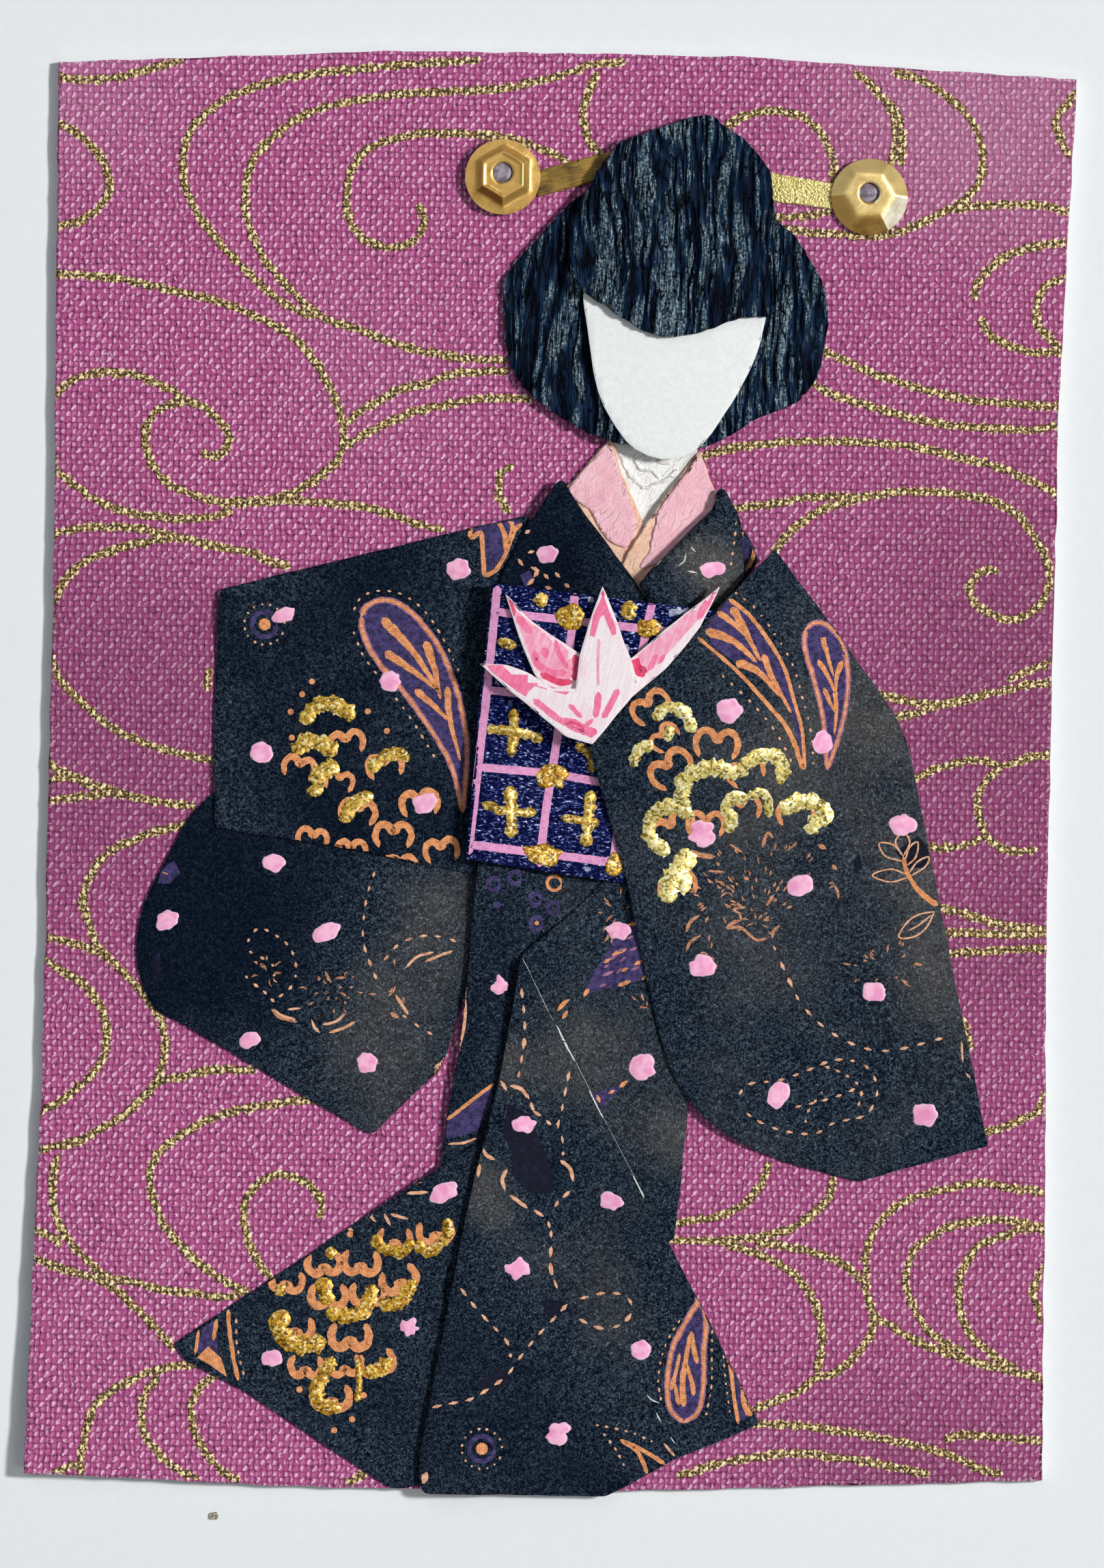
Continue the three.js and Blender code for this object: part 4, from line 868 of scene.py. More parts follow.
class Print:
    """What is printed and painted on one sheet: flat inks, raised dabs and glitter paint."""

    def __init__(self, name, slot="black_print"):
        self.name = name
        self.slot = slot
        self.over = tops[name]
        self.ink = bmesh.new()
        self.dabs = bmesh.new()
        self.edge = self.dabs.verts.layers.float.new("edge")
        self.glitter = bmesh.new()

    def line(self, points, width=0.2, slot=faint, ends=(1, 1), lift=0.016, wobble=0.35):
        band(self.ink, self.over, points, width, lift=lift, ends=ends, wobble=wobble, slot=slot,
             pitch=0.22)

    def fill(self, points, slot=purple, lift=0.01):
        flat(self.ink, self.over, [Vector(p) for p in points], lift, slot)

    def leaf(self, right, left, width=0.22):
        """A drop between two lines that share both tips, outlined in rose and orange."""
        down, up = spline(right, 0.3), spline(left, 0.3)
        self.fill(down + up[-2:0:-1])
        for wide, slot, lift in ((width + 0.2, rose, 0.013), (width, orange, 0.016)):
            for side in (right, left):
                self.line(side, wide, slot, ends=(1, 0.8), lift=lift)

    def dashes(self, points, dash=0.42, gap=0.5, width=0.19, slot=faint, away=0.0):
        """A stitched line: short strokes one after another, away millimetres to its left. The
        strokes' round ends take some of the dash and give it to the gap."""
        dash *= 1.15
        gap *= 0.9
        uneven, shortest = 0.35, 0.1
        fine = spline(points, 0.06)
        gone = 0.0
        run = []
        for k in range(1, len(fine)):
            way = (fine[k] - fine[k - 1]).normalized()
            gone += (fine[k] - fine[k - 1]).length
            at = fine[k] + Vector((-way.y, way.x)) * away
            jitter = uneven * noise.noise((at.x * 2, at.y * 2, 4.2))
            inside = gone % (dash + gap) < dash * (1 + jitter)
            if inside:
                run.append(at)
            if run and (not inside or k == len(fine) - 1):
                if (run[-1] - run[0]).length > shortest:
                    middle = run[len(run) // 2]
                    self.line([run[0], middle, run[-1]], width * (1 + jitter), slot)
                run = []

    def burst(self, centre, low, high, count, seed, flatten=1.0, turns=(0, 360)):
        """Short strokes that stand round a centre, between two turns in degrees."""
        chance = random.Random(seed)
        for _ in range(count):
            turn = math.radians(chance.uniform(*turns))
            r = chance.uniform(low, high)
            way = Vector((math.cos(turn), math.sin(turn) * flatten))
            at = Vector(centre) + way * r
            across = Vector((-way.y, way.x)) * chance.uniform(-0.08, 0.08)
            reach = way * chance.uniform(0.11, 0.26)
            self.line([at - reach, at + across, at + reach], chance.uniform(0.11, 0.17), thin)

    def round(self, centre, radius, turns):
        """The points of a circle at those turns, in radians."""
        x, y = centre
        return [(x + radius * math.cos(t), y + radius * math.sin(t)) for t in turns]

    def ring(self, centre, radius, width, slot):
        self.line(self.round(centre, radius, [math.tau * k / 10 for k in range(11)]), width, slot)

    def spot(self, centre, radius, slot):
        self.fill(self.round(centre, radius, [math.tau * k / 10 for k in range(10)]), slot, 0.016)

    def ringed(self, centre):
        """A spot in a purple ring in a ring of stitches."""
        self.spot(centre, 0.38, orange)
        self.ring(centre, 0.78, 0.3, purple)
        self.dashes(self.round(centre, 1.25, [k / 5 for k in range(32)]), 0.18, 0.34, 0.17)

    def scallop(self, x, y, size, turn, width=0.46):
        """Two joined arches, the repeat of a row of scales, open towards -Y when turn is 0."""
        a = math.radians(turn)
        across = Vector((math.cos(a), math.sin(a))) * size
        up = Vector((-math.sin(a), math.cos(a))) * size
        arch = ((0.8, -0.75), (1.02, -0.1), (0.85, 0.4), (0.5, 0.55), (0.18, 0.35), (0, -0.05))
        for side in (-across, across):
            points = [Vector((x, y)) + side * u + up * v for u, v in arch]
            self.line(points, width * size, orange, ends=(0.7, 1.1), wobble=0.3)

    def gild(self, points, width, slot=deep_gold):
        """A thick ragged stroke of glitter paint, which has spread a little."""
        spread = 1.2
        band(self.glitter, self.over, points, width * spread, lift=0.02, dome=0.11, columns=5,
             wobble=0.6, slot=slot, pitch=0.14, lump=0.05)

    def dot(self, x, y, wide, tall=None, turn=0.0, wobble=0.14, rise_by=0.09, gold=None):
        """A dab of thick paint, pink or glitter, with an uneven border."""
        bm = self.dabs if gold is None else self.glitter
        tall = tall or wide
        a = math.radians(turn)
        rings = ((0.0, 1.0), (0.4, 0.98), (0.72, 0.9), (0.9, 0.7), (0.98, 0.35), (1.0, 0.0))
        count, lift, foot = 30, 0.01, 0.04
        rows = []
        for share, high in rings:
            row = []
            for k in range(1 if share == 0 else count):
                t = math.tau * k / count
                c, d = math.cos(t), math.sin(t)
                lump = 1 + wobble * noise.noise((c * 1.7 + x, d * 1.7 + y, 0.5)) * 2
                lump += wobble * 0.5 * noise.noise((c * 4 + x, d * 4 + y, 2.5))
                u, v = c * wide / 2 * share * lump, d * tall / 2 * share * lump
                px, py, pz = settle(
                    self.over, x + u * math.cos(a) - v * math.sin(a),
                    y + u * math.sin(a) + v * math.cos(a),
                )
                swell = rise_by * high * (1 + 0.35 * noise.noise((px * 2.2, py * 2.2, 7.7)))
                vert = bm.verts.new((px, py, pz + lift + swell))
                if gold is None:
                    vert[self.edge] = share
                row.append(vert)
            rows.append(row)
        base = [bm.verts.new((v.co.x, v.co.y, v.co.z - foot)) for v in rows[-1]]
        made = [bm.faces.new(base)]
        for k in range(count):
            n = (k + 1) % count
            made.append(bm.faces.new((rows[0][0], rows[1][k], rows[1][n])))
            for a_row, b_row in zip(rows[1:], rows[2:] + [base]):
                made.append(bm.faces.new((a_row[k], b_row[k], b_row[n], a_row[n])))
        for f in made:
            f.material_index = gold or 0

    def done(self):
        for bm, ending, paints in (
            (self.ink, "_print", inks), (self.dabs, "_paint_dabs", [dab]),
            (self.glitter, "_glitter", glitters),
        ):
            if len(bm.faces):
                piece(self.name + ending, bm, paints)


def each(draw, rows, *rest, **more):
    """Draws every row, whose values come before the rest."""
    for row in rows:
        draw(*row, *rest, **more)


sheet("kimono_back_panel", "kimono_back", [black, core])
design = Print("kimono_back_panel")
design.fill([(11.6, 15.2), (12.2, 14.8), (12.5, 13.9), (12.2, 12.9), (11.9, 12.6), (11.6, 13.6)])
each(design.line, (
    ([(11.7, 15.3), (11.5, 14.2), (11.7, 12.7)],), ([(11.9, 12.7), (12.3, 13.3), (12.5, 14.1)],),
), 0.26, orange)
design.done()


# Left sleeve: two pieces of the black washi. The hanging lower part is glued down first, then the
# upper part over it, with its top edge turned under.

# Its spots above 0 are painted sheen with real wear, and the one below 0 is painted shade at the
# sleeve's left end.
sheet(
    "sleeve_left_hanging", "sleeve_left_lower", [black, core],
    wear_and_light_spots=((-8, -8, 6, 0.6), (-9, -16, 6, 0.5), (-12, -20, 5, 0.3), (-22, -8, 9, -1.0)),
)
design = Print("sleeve_left_hanging")
design.fill([(-24, -6.2), (-23.3, -5.9), (-22.9, -6.6), (-23.6, -7.3), (-24.3, -7.3)], purple)
design.line([(-24, -6.6), (-23.7, -6.7)], 0.3, orange)
design.fill([(-24.6, -12), (-24.1, -11.4), (-24, -13), (-24.4, -13.9)], dull)
each(design.dot, (
    (-17.1, -5.9, 1.4, 1.1, 0), (-23.7, -9.6, 1.5, 1.2, 20), (-13.8, -10.2, 1.8, 1.15, 30),
    (-18.4, -16.9, 1.45, 1.1, 0), (-11.1, -18.2, 1.35, 1.3, 0),
))
each(design.dashes, (
    ([(-10.8, -6.3), (-11.3, -8), (-11.5, -10.2), (-11.2, -11.6), (-10.4, -13.5)],),
    ([(-18.7, -10.9), (-18, -10), (-16.9, -10.4), (-16, -11.2), (-15.6, -12.4), (-15.9, -13.6),
      (-16.9, -14.4)], 0.32, 0.42),
    ([(-18.8, -12.9), (-18.4, -13.3), (-17.6, -13.9), (-16.9, -14.6)], 0.32, 0.4),
    ([(-18.6, -11.4), (-17.6, -11.9), (-16.8, -12.6), (-17.4, -13.2)], 0.3, 0.5),
    ([(-10.2, -11.9), (-9.2, -10.8), (-7.8, -10.3), (-6.3, -10.4), (-5.6, -10.7)],),
))
each(design.line, (
    ([(-17, -15), (-16.4, -15.4), (-15.6, -15.6)], 0.16), ([(-16.1, -15), (-15.3, -14.9)], 0.14),
    ([(-14.6, -15.6), (-14.4, -16.1), (-14.1, -16.4)], 0.16),
    ([(-13.9, -15.9), (-13.1, -15.7), (-12.5, -15.2)], 0.17),
    ([(-13.5, -16.4), (-12.6, -16.1), (-11.9, -15.7)], 0.17),
    ([(-8.8, -12.3), (-8.1, -11.6), (-7.1, -11.3)], 0.17),
    ([(-7.6, -11.9), (-6.7, -11.5), (-5.9, -11.2)], 0.17),
    ([(-9.4, -14), (-9, -14.6), (-8.6, -15.2)], 0.2),
))
design.dashes([(-9, -15.2), (-8, -15.9), (-6.6, -16.7)], 0.35, 0.6)
design.line([(-6.9, -18.5), (-6.1, -17.9)], 0.22)
each(design.burst, (
    ((-13.2, -13.8), 0.5, 2.6, 22, 5, 0.55), ((-17.4, -12.7), 0.3, 1.1, 10, 14),
    ((-9.3, -13.2), 0.3, 1.5, 7, 6, 1),
))
each(design.line, (
    ([(-13.8, -12.6), (-13.6, -13.05), (-13.4, -13.3)], 0.2),
    ([(-13.2, -13), (-12.5, -12.95)], 0.16),
    ([(-17.1, -15), (-16.6, -15.5), (-15.5, -15.75)], 0.17), ([(-9.7, -15.1), (-9.2, -15.4)], 0.3),
), thin)
design.gild([(-6.9, -18.9), (-6.3, -18.5)], 0.5)
design.done()
# Both of its spots are painted shade.
sheet(
    "sleeve_left_shoulder", "sleeve_left_upper", [black, core],
    wear_and_light_spots=((-15, 7, 9, -0.5), (-13, -4, 7, -0.2)),
)
design = Print("sleeve_left_shoulder")
design.leaf(
    [(-11.9, 9.5), (-11.6, 10.1), (-10.8, 10.5), (-9.8, 10.4), (-8.6, 9.6), (-7.4, 8.2),
      (-6.6, 6.8), (-5.9, 5), (-5.4, 3), (-5.2, 1), (-5.4, -2.6)],
    [(-11.9, 9.5), (-11.8, 8.6), (-11.3, 7.4), (-10.5, 6.3), (-9.6, 5.3), (-8.6, 4.1), (-6.8, 1.5),
      (-6, -0.2), (-5.4, -2.6)],
)
each(design.line, (
    ([(-10.6, 9.4), (-8.6, 7.3), (-6.9, 4.7)], 0.55), ([(-7.9, 8), (-7.3, 6.3), (-6.9, 4.4)], 0.5),
    ([(-10.4, 7.3), (-8.7, 6.2), (-7.1, 5)], 0.5), ([(-8.5, 5), (-7.4, 4.1), (-6.4, 3.1)], 0.45),
    ([(-6.5, 5.2), (-6.3, 3.2), (-5.6, 0.6)], 0.42),
), orange, ends=(1.1, 0.35))
each(design.dashes, (
    ([(-12.4, 9.8), (-11.9, 10.7), (-10.8, 11.1), (-9.4, 10.9), (-8, 9.9), (-6.8, 8.2),
      (-5.8, 6.2)], 0.26, 0.42),
    ([(-12.4, 8.6), (-11.7, 7), (-10.3, 5.2), (-8.8, 3.3), (-7.2, 0.8)], 0.26, 0.45),
), 0.16)
design.ringed((-17.9, 8.9))
design.fill([
    (-5, 15.7), (-5, 14.5), (-4.4, 15), (-4.15, 12.3), (-3.7, 12.7), (-2.9, 13.6), (-2.3, 15),
    (-1.9, 15.5), (-2.6, 15.8), (-3.6, 15.7),
])
for points in (
    [(-5.2, 15.7), (-5.2, 14.4)], [(-5.2, 14.4), (-4.5, 14.9)], [(-4.5, 14.9), (-4.3, 12.1)],
    [(-4.3, 12.1), (-3.6, 12.5), (-3, 13.5), (-2.5, 14.9), (-2, 15.4)],
    [(-3.6, 15.7), (-3.1, 14.8), (-3, 13.7)], [(-2.7, 15.7), (-2.6, 15), (-2.9, 14)],
):
    design.line(points, 0.28, orange)
each(design.scallop, (
    (-12.7, 1.7, 1, 10), (-15.6, 0.1, 0.95, -12), (-13.1, -0.7, 0.85, -10), (-10.3, 0.3, 1.05, 12),
    (-11.9, -2.6, 1.05, -8), (-8.1, -2, 1.1, 8), (-9.7, -4, 1.1, 0), (-14.7, -4.3, 0.9, -10),
    (-12.3, -5, 0.9, 0), (-6.7, -4.9, 1, 10), (-9.2, -5.9, 0.9, 5),
))
each(design.gild, (
    ([(-15.3, 2.7), (-15.1, 3.4), (-14.4, 3.9), (-13.5, 4), (-12.8, 3.6), (-12.2, 3.2)], 0.85),
    ([(-16, 1), (-15.4, 1.5), (-14.6, 1.7), (-13.9, 1.4), (-13.3, 0.9)], 0.9),
    ([(-14.9, -0.8), (-14.2, -0.3), (-13.2, 0.3)], 0.95), ([(-14.7, -1), (-14.4, -1.7)], 1.05),
    ([(-12.9, -3.3), (-12.5, -2.6), (-11.8, -1.9), (-11, -1.55)], 0.75),
    ([(-11.1, -0.2), (-10.8, 0.5), (-10, 0.9), (-8.9, 1.05)], 0.62),
    ([(-9.1, 1), (-8.9, 0.5)], 0.5),
))
for x, y in ((-15.5, 4.6), (-16.2, 3.5), (-16.1, 1.9), (-11.4, 3.6), (-10.2, 2.4), (-14.9, 5.4)):
    design.spot((x, y), 0.19, orange)
each(design.dot, (
    (-16.7, 9.5, 1.4, 0.9, 20), (-18, 0.9, 1.5, 1.3, 0), (-10, 5.5, 1.35, 1.25, 0),
    (-5.9, 12.5, 1.5, 1.3, 0), (-7.8, -2, 1.6, 1.2, 30),
))
design.done()


# Skirt: four pieces of the black washi, each glued to the one before: back panel, fan-shaped
# train and side panel, then the front flap with its left edge turned under.

sheet("skirt_back_panel", "skirt_back", [black, core])
design = Print("skirt_back_panel")
for x, y in ((-3.4, -7), (-2.1, -6.6), (-0.8, -7.9), (0.3, -8.4), (-0.7, -9.4)):
    design.ring((x, y), 0.38, 0.28, purple)
design.spot((-3.2, -8.3), 0.25, purple)
design.spot((-0.7, -9.4), 0.14, orange)
design.ring((0.35, -6.9), 0.45, 0.2, orange)
design.dot(-2.9, -13.3, 1.2, 1.1, 0, 0.3)
design.fill([
    (-6.2, -21.9), (-4.9, -20.6), (-3.3, -19.6), (-3.4, -20.7), (-4.2, -22.4), (-6.1, -22.9),
])
each(design.line, (
    ([(-6.1, -21.7), (-4.6, -20.5), (-3.2, -19.4)], 0.22, orange),
    ([(-6, -23.2), (-5, -23.1), (-4.2, -22.8)], 0.16),
    ([(-5.3, -13.2), (-5.05, -14.8), (-5.2, -16.4), (-5.6, -17.6)], 0.18, faint),
))
design.done()
sheet("skirt_train_panel", "skirt_train", [black, core])
design = Print("skirt_train_panel")
each(design.fill, (
    ([(-21.5, -36), (-21, -34.8), (-20.2, -34.3), (-20.1, -36.2), (-19.7, -37.8),
      (-20.6, -37.2)],),
    ([(-21.4, -36.7), (-20.7, -36), (-19.9, -36.7), (-19.5, -37.9), (-20.5, -37.2)], orange,
      0.016),
))
each(design.line, (
    ([(-21.3, -35), (-21.5, -36.5)], 0.22), ([(-20.2, -34.3), (-20.4, -35.6)], 0.26),
    ([(-19.5, -33.7), (-19.4, -35), (-19.1, -36.8), (-18.8, -38.1)], 0.26),
), orange)
design.dashes([(-19, -34.2), (-18.9, -36), (-18.4, -38)], 0.3, 0.35, 0.17)
each(design.scallop, (
    (-15.9, -31.9, 0.95, 172), (-13.6, -30.8, 1, 185), (-11.3, -30.7, 1.05, 178),
    (-13.3, -32.8, 1.05, 180), (-10.8, -32.6, 1, 185), (-8.9, -31.7, 1.05, 200),
    (-15.3, -34.8, 1, 175), (-11.9, -35.3, 1.15, 180), (-14.6, -37.2, 0.95, 178),
    (-12.2, -37.1, 0.9, 185), (-10.2, -36.9, 1, 195), (-13, -39.1, 1.1, 180),
    (-9.2, -29.2, 0.95, 180), (-6.7, -28.7, 1, 190),
), 0.56)
each(design.gild, (
    ([(-10.6, -29), (-9.8, -29.8), (-8.7, -29.9), (-8.1, -29.2)], 0.6),
    ([(-7.9, -29.3), (-7.2, -29.9), (-6.4, -29.5), (-5.9, -28.6), (-6, -27.8)], 0.6),
    ([(-13.2, -29.7), (-13.2, -30.5)], 0.6),
    ([(-13.9, -31.7), (-13.4, -32.6), (-13.6, -33.3)], 0.85),
    ([(-13.4, -33.7), (-12.4, -34), (-11.4, -33.8), (-10.8, -33.1), (-10.5, -32)], 0.75),
    ([(-10.2, -33.1), (-9.1, -33.2), (-8.3, -32.4), (-7.9, -31.6)], 0.7),
    ([(-16.5, -32.2), (-16, -32.7)], 0.8),
    ([(-15.9, -33.7), (-16.3, -34.6), (-15.8, -35.5), (-14.6, -35.9), (-13.4, -35.5)], 0.95),
    ([(-12.9, -36.6), (-13.5, -37.7), (-13.9, -38.8), (-13.4, -39.6), (-12.4, -39.7)], 0.75),
    ([(-11.4, -36.6), (-11.3, -38), (-11.4, -39.3)], 0.35),
    ([(-11, -37.3), (-10.2, -37.4), (-9.3, -36.6)], 0.7),
), ochre_gold)
for x, y in ((-15, -38.6), (-11, -38.9), (-11.7, -40.4), (-12.8, -41.1), (-12, -28.9)):
    design.spot((x, y), 0.2, orange)
for points in (
    [(-10.9, -27.6), (-10.4, -28.1)], [(-9.9, -27.6), (-9.5, -28.3)],
    [(-9.5, -27.6), (-8.4, -27.9)], [(-12.3, -28.4), (-11.8, -28.7)],
    [(-8.5, -26.3), (-7.2, -26.2)], [(-8.3, -25.3), (-7.6, -25.6)],
):
    design.line(points, 0.2, faint)
each(design.dot, (
    (-16.7, -36.7, 1.45, 1.1, 0, 0.14), (-8.3, -34.6, 1.35, 1, -20, 0.35),
    (-6.2, -26.2, 2, 1.15, 25, 0.12),
))
design.done()
# Both of its spots are painted sheen with real wear.
sheet(
    "skirt_side_panel", "skirt_side", [black, core],
    wear_and_light_spots=((4, -17, 4, 0.5), (8, -22, 3, 0.5)),
)
design = Print("skirt_side_panel")
each(design.fill, (
    ([(2.2, -13.8), (3, -12.2), (4, -10.6), (4.2, -9.6), (5.8, -9.2), (6.2, -12.3), (6.3, -12.7),
      (4.5, -13.2), (3, -13.6)],),
    ([(2.9, -19.95), (4.2, -19.5), (5.1, -19.05), (4.75, -19.55), (4.2, -20.05), (3.5, -20.8)],),
))
for points in (
    [(2.3, -13.9), (2.6, -13.4)], [(4.4, -13.2), (5.2, -12.9)], [(5.9, -12.8), (6.2, -12.5)],
    [(4, -11.3), (4.9, -10.9)], [(3.5, -11.8), (3.9, -11.5)], [(5.4, -11.9), (5.9, -11.6)],
    [(4.6, -12.3), (5, -12.1)], [(5, -9.4), (5.6, -9.3)], [(0.7, -14.8), (1, -14.4), (1.4, -14.1)],
    [(3.2, -20), (3.4, -20.5)], [(3.9, -19.9), (4.3, -19.7)], [(4.6, -19.5), (5.1, -19.1)],
    [(1, -15.3), (1.3, -14.8)],
):
    design.line(points, 0.24, orange)
for points in (
    [(4.3, -11.1), (4.8, -10.9)], [(3.9, -11.6), (4.3, -11.3)], [(4.5, -11.7), (4.9, -11.4)],
    [(3.5, -12.1), (3.8, -11.9)], [(3.4, -12.6), (4.1, -12.3)], [(4.3, -12.5), (4.6, -12.1)],
    [(5.2, -12.2), (5.7, -12)], [(3.2, -13.3), (3.7, -13.1)], [(4.9, -10.3), (5.3, -10.1)],
    [(5.1, -11), (5.6, -10.8)],
):
    design.line(points, 0.2, rose, lift=0.02)
each(design.burst, (((4.4, -8.6), 0.6, 1.9, 24, 3), ((6.2, -14.5), 0.1, 1, 7, 4)))
each(design.dot, ((4.4, -9.8, 1.45, 1.1), (6, -18.2, 1.75, 1.6, 0, 0.16)))
design.done()
# Its spots above 0 are painted sheen with real wear, and those below 0 painted shade.
sheet(
    "skirt_front_flap", "skirt_front", [black, core],
    wear_and_light_spots=((-3.4, -26, 2.6, 0.9), (-2.6, -18, 1.6, 0.6), (4, -32, 6, 0.3), (1.5, -18, 5, 0.4),
          (-0.5, -24.5, 3, -0.5), (-2, -39, 8, -0.35)),
)
design = Print("skirt_front_flap")
each(design.line, (
    ([(-1.48, -11.4), (0, -14.3), (1.2, -16.7)], 0.032),
    ([(1.25, -16.8), (2.6, -19.4), (3.9, -21.9)], 0.022),
    ([(3.95, -22), (5.8, -25.4), (7.7, -28.9)], 0.016),
), bare, lift=0.05)
for points in (
    [(6.6, -38.6), (6.9, -38.9), (7.4, -39.1)], [(7.2, -39.7), (7.5, -40.3)],
    [(8.1, -41.2), (8.4, -41.6)],
):
    design.line(points, 0.08, bare)
design.dot(0.5, -41.3, 0.35, 0.3)
for points in (
    [(-2.3, -20.6), (-1, -21.3), (-0.4, -22.6), (0.2, -24), (0.6, -25.4), (0.3, -26.2),
      (-1, -26.1), (-2, -25), (-2, -24), (-2.6, -22.3)],
    [(0, -33.8), (1.9, -33.5), (1.4, -32.9), (0.4, -32.7)],
    [(-2.6, -37), (-1.8, -37.8), (-2.9, -38.7), (-4.2, -38.2)],
):
    design.fill(points, dull, 0.008)
for points in (
    [(-1.6, -13.4), (-1.4, -15), (-1.35, -16.4), (-1.5, -17.8), (-1.7, -19)],
    [(-0.8, -21), (-0.2, -21.4), (0.4, -21.9)],
    [(1.5, -18.5), (1.2, -20), (1, -21.2), (0.8, -22), (1.1, -22.7), (1.15, -23.8)],
    [(0.5, -28.4), (0.5, -29.6), (0.5, -30.8), (1, -32.3)],
    [(2.3, -32.7), (3.9, -32.3), (5.2, -32.5), (5.6, -33.4), (4.8, -34.3), (3.6, -34.5),
      (2.2, -33.9)],
    [(1.6, -33), (0.6, -34.1), (-0.4, -35.2), (-1.4, -36.5), (-2.1, -37.5), (-3, -38.2),
      (-4.3, -39), (-5.6, -39.3), (-6.9, -39.6)],
    [(-5.1, -32.1), (-4.4, -33), (-3.5, -34), (-2.7, -34.8), (-2.1, -35.5), (-1.9, -36.4)],
):
    design.dashes(points, 0.55, 0.45, 0.22)
for points in (
    [(-2.8, -19.2), (-2.4, -19.8)], [(-2.2, -19.5), (-1.5, -19.7), (-1, -20.3)],
    [(-0.9, -20.5), (-0.7, -21.1)], [(1, -24.1), (1.6, -24.6), (1.8, -25.4)],
    [(1.6, -26), (1.2, -26.4)], [(-2.3, -24.7), (-2.6, -25.3), (-2.4, -26)],
    [(-2.1, -26.3), (-1.4, -26.8), (-1, -27.1)], [(-0.6, -27.2), (0, -27.6)],
    [(-3.9, -23.4), (-3.5, -23.9), (-3.1, -24.1)], [(-4, -24.4), (-4.1, -25.2)],
    [(0.7, -27), (0.9, -26.6)], [(0.3, -27.9), (0.4, -28.3)],
):
    design.line(points, 0.22)
design.ringed((-3.6, -42.1))
design.leaf(
    [(9.8, -32.6), (10.2, -34), (10.1, -36), (10.1, -38), (9.8, -39.6), (8.9, -40.3)],
    [(9.8, -32.6), (8.9, -34.1), (8.15, -35.7), (7.85, -37.8), (8.05, -39.4), (8.9, -40.3)],
)
each(design.line, (
    ([(9.3, -34.6), (9, -36.2), (8.8, -37.8), (8.9, -39.3)], 0.4),
    ([(9.3, -34.6), (9.5, -35.8), (9.7, -36.6)], 0.35),
    ([(8.6, -36), (8.4, -37), (8.1, -38.3)], 0.3),
    ([(9, -36.6), (9.4, -37.8), (9.5, -38.6)], 0.35), ([(8.3, -37.8), (8.6, -39.2)], 0.3),
), orange, ends=(0.6, 1))
design.fill([(11.7, -36.3), (12.4, -37.6), (12.9, -39), (12.9, -39.9), (12.3, -40.2), (12, -38.5)])
design.line([(11.7, -36.2), (12, -38.5), (12.3, -40.3)], 0.24, orange)
design.line([(12.6, -37.8), (12.7, -39), (13.1, -39.8)], 0.5, orange, ends=(0.5, 1.2))
each(design.line, (
    ([(5, -41.4), (6.1, -42.2), (6.7, -43.5)], 0.26, orange),
    ([(5.2, -41.5), (6.5, -42.1), (7.8, -42.9)], 0.26, orange),
    ([(7.7, -41.6), (8.4, -42.4)], 0.16),
))
each(design.dashes, (
    ([(3.4, -40.5), (4.6, -40.7), (5.8, -41), (7, -41.5)], 0.25, 0.35, 0.17),
    ([(3.9, -41), (4.7, -42), (5.4, -43.3)], 0.25, 0.3, 0.17),
    ([(7.5, -39), (7.3, -37.5), (7.7, -35.5), (8.7, -33.7)], 0.26, 0.3, 0.14),
    ([(10.6, -33.9), (10.6, -36), (10.6, -38), (10.3, -39.8)], 0.26, 0.3, 0.14),
    ([(11.3, -36), (11.5, -37.8), (11.8, -39.8)], 0.26, 0.3, 0.14),
))
design.line([(-7.2, -44.3), (-7, -43.6)], 0.4, faint)
each(design.dot, (
    (-1.3, -21.9, 1.45, 1.1, 15, 0.15), (4.2, -26.6, 1.45, 1.15, 0, 0.18),
    (-1.6, -30.9, 1.35, 1.2, 0, 0.24), (6.2, -35.8, 1.25, 1.2, 0, 0.1),
    (1.1, -41.1, 1.5, 1.3, 0, 0.3),
))
design.done()


# Collars: peach washi folded round the neck, right over left, each with a torn band of pink
# washi on top, slightly creased by the glue.

peach_washi = material("peach_washi", paint_washi("#F6CDB4", "#E6B094"))
pink_washi = material("pink_washi", paint_washi("#F9C8D0", "#EBA9B8"))
for node, kind, slot, seed in (
    ("collar_left_peach", peach_washi, "peach_washi", 1.0),
    ("collar_left_pink", pink_washi, "pink_washi", 2.0),
    ("collar_right_peach", peach_washi, "peach_washi", 3.0),
    ("collar_right_pink", pink_washi, "pink_washi", 4.0),
):
    sheet(
        node + "_band", node, [kind], step=(0.22, 0.22), torn=0.1, sway=0.08,
        relief=lambda x, y, seed=seed: crumpled(x, y, 1.7, 0.11, seed),
    )


# Kimono fronts: black washi again, first the left one, then a narrow pink lining strip and the
# right one with its rolled neck edge, glued over the collars.

# Its one spot is painted shade.
sheet("bodice_left_front", "bodice_left", [black, core], wear_and_light_spots=((0, 13, 5, -0.75),))
design = Print("bodice_left_front")
for points in (
    [(-1.8, 14.8), (-1.5, 15)], [(-1.6, 13.6), (-1.2, 13.7)],
    [(-1.4, 12.7), (-1, 12.5), (-1.2, 12.1)], [(-1.2, 12), (-1.6, 11.6)],
    [(-0.6, 12.3), (-0.3, 12)], [(-2.2, 13.2), (-1.9, 12.8)], [(0.1, 12.4), (0.4, 12.1)],
    [(0.7, 11.7), (1, 11.5)], [(-0.5, 11.5), (-0.1, 11.4)],
):
    design.line(points, 0.24, faint)
design.fill([(-2.1, 12.2), (-1.5, 12.5), (-1.2, 12), (-1.7, 11.4)], purple)
design.dot(-0.4, 13.5, 1.4, 1.1, 10)
design.done()
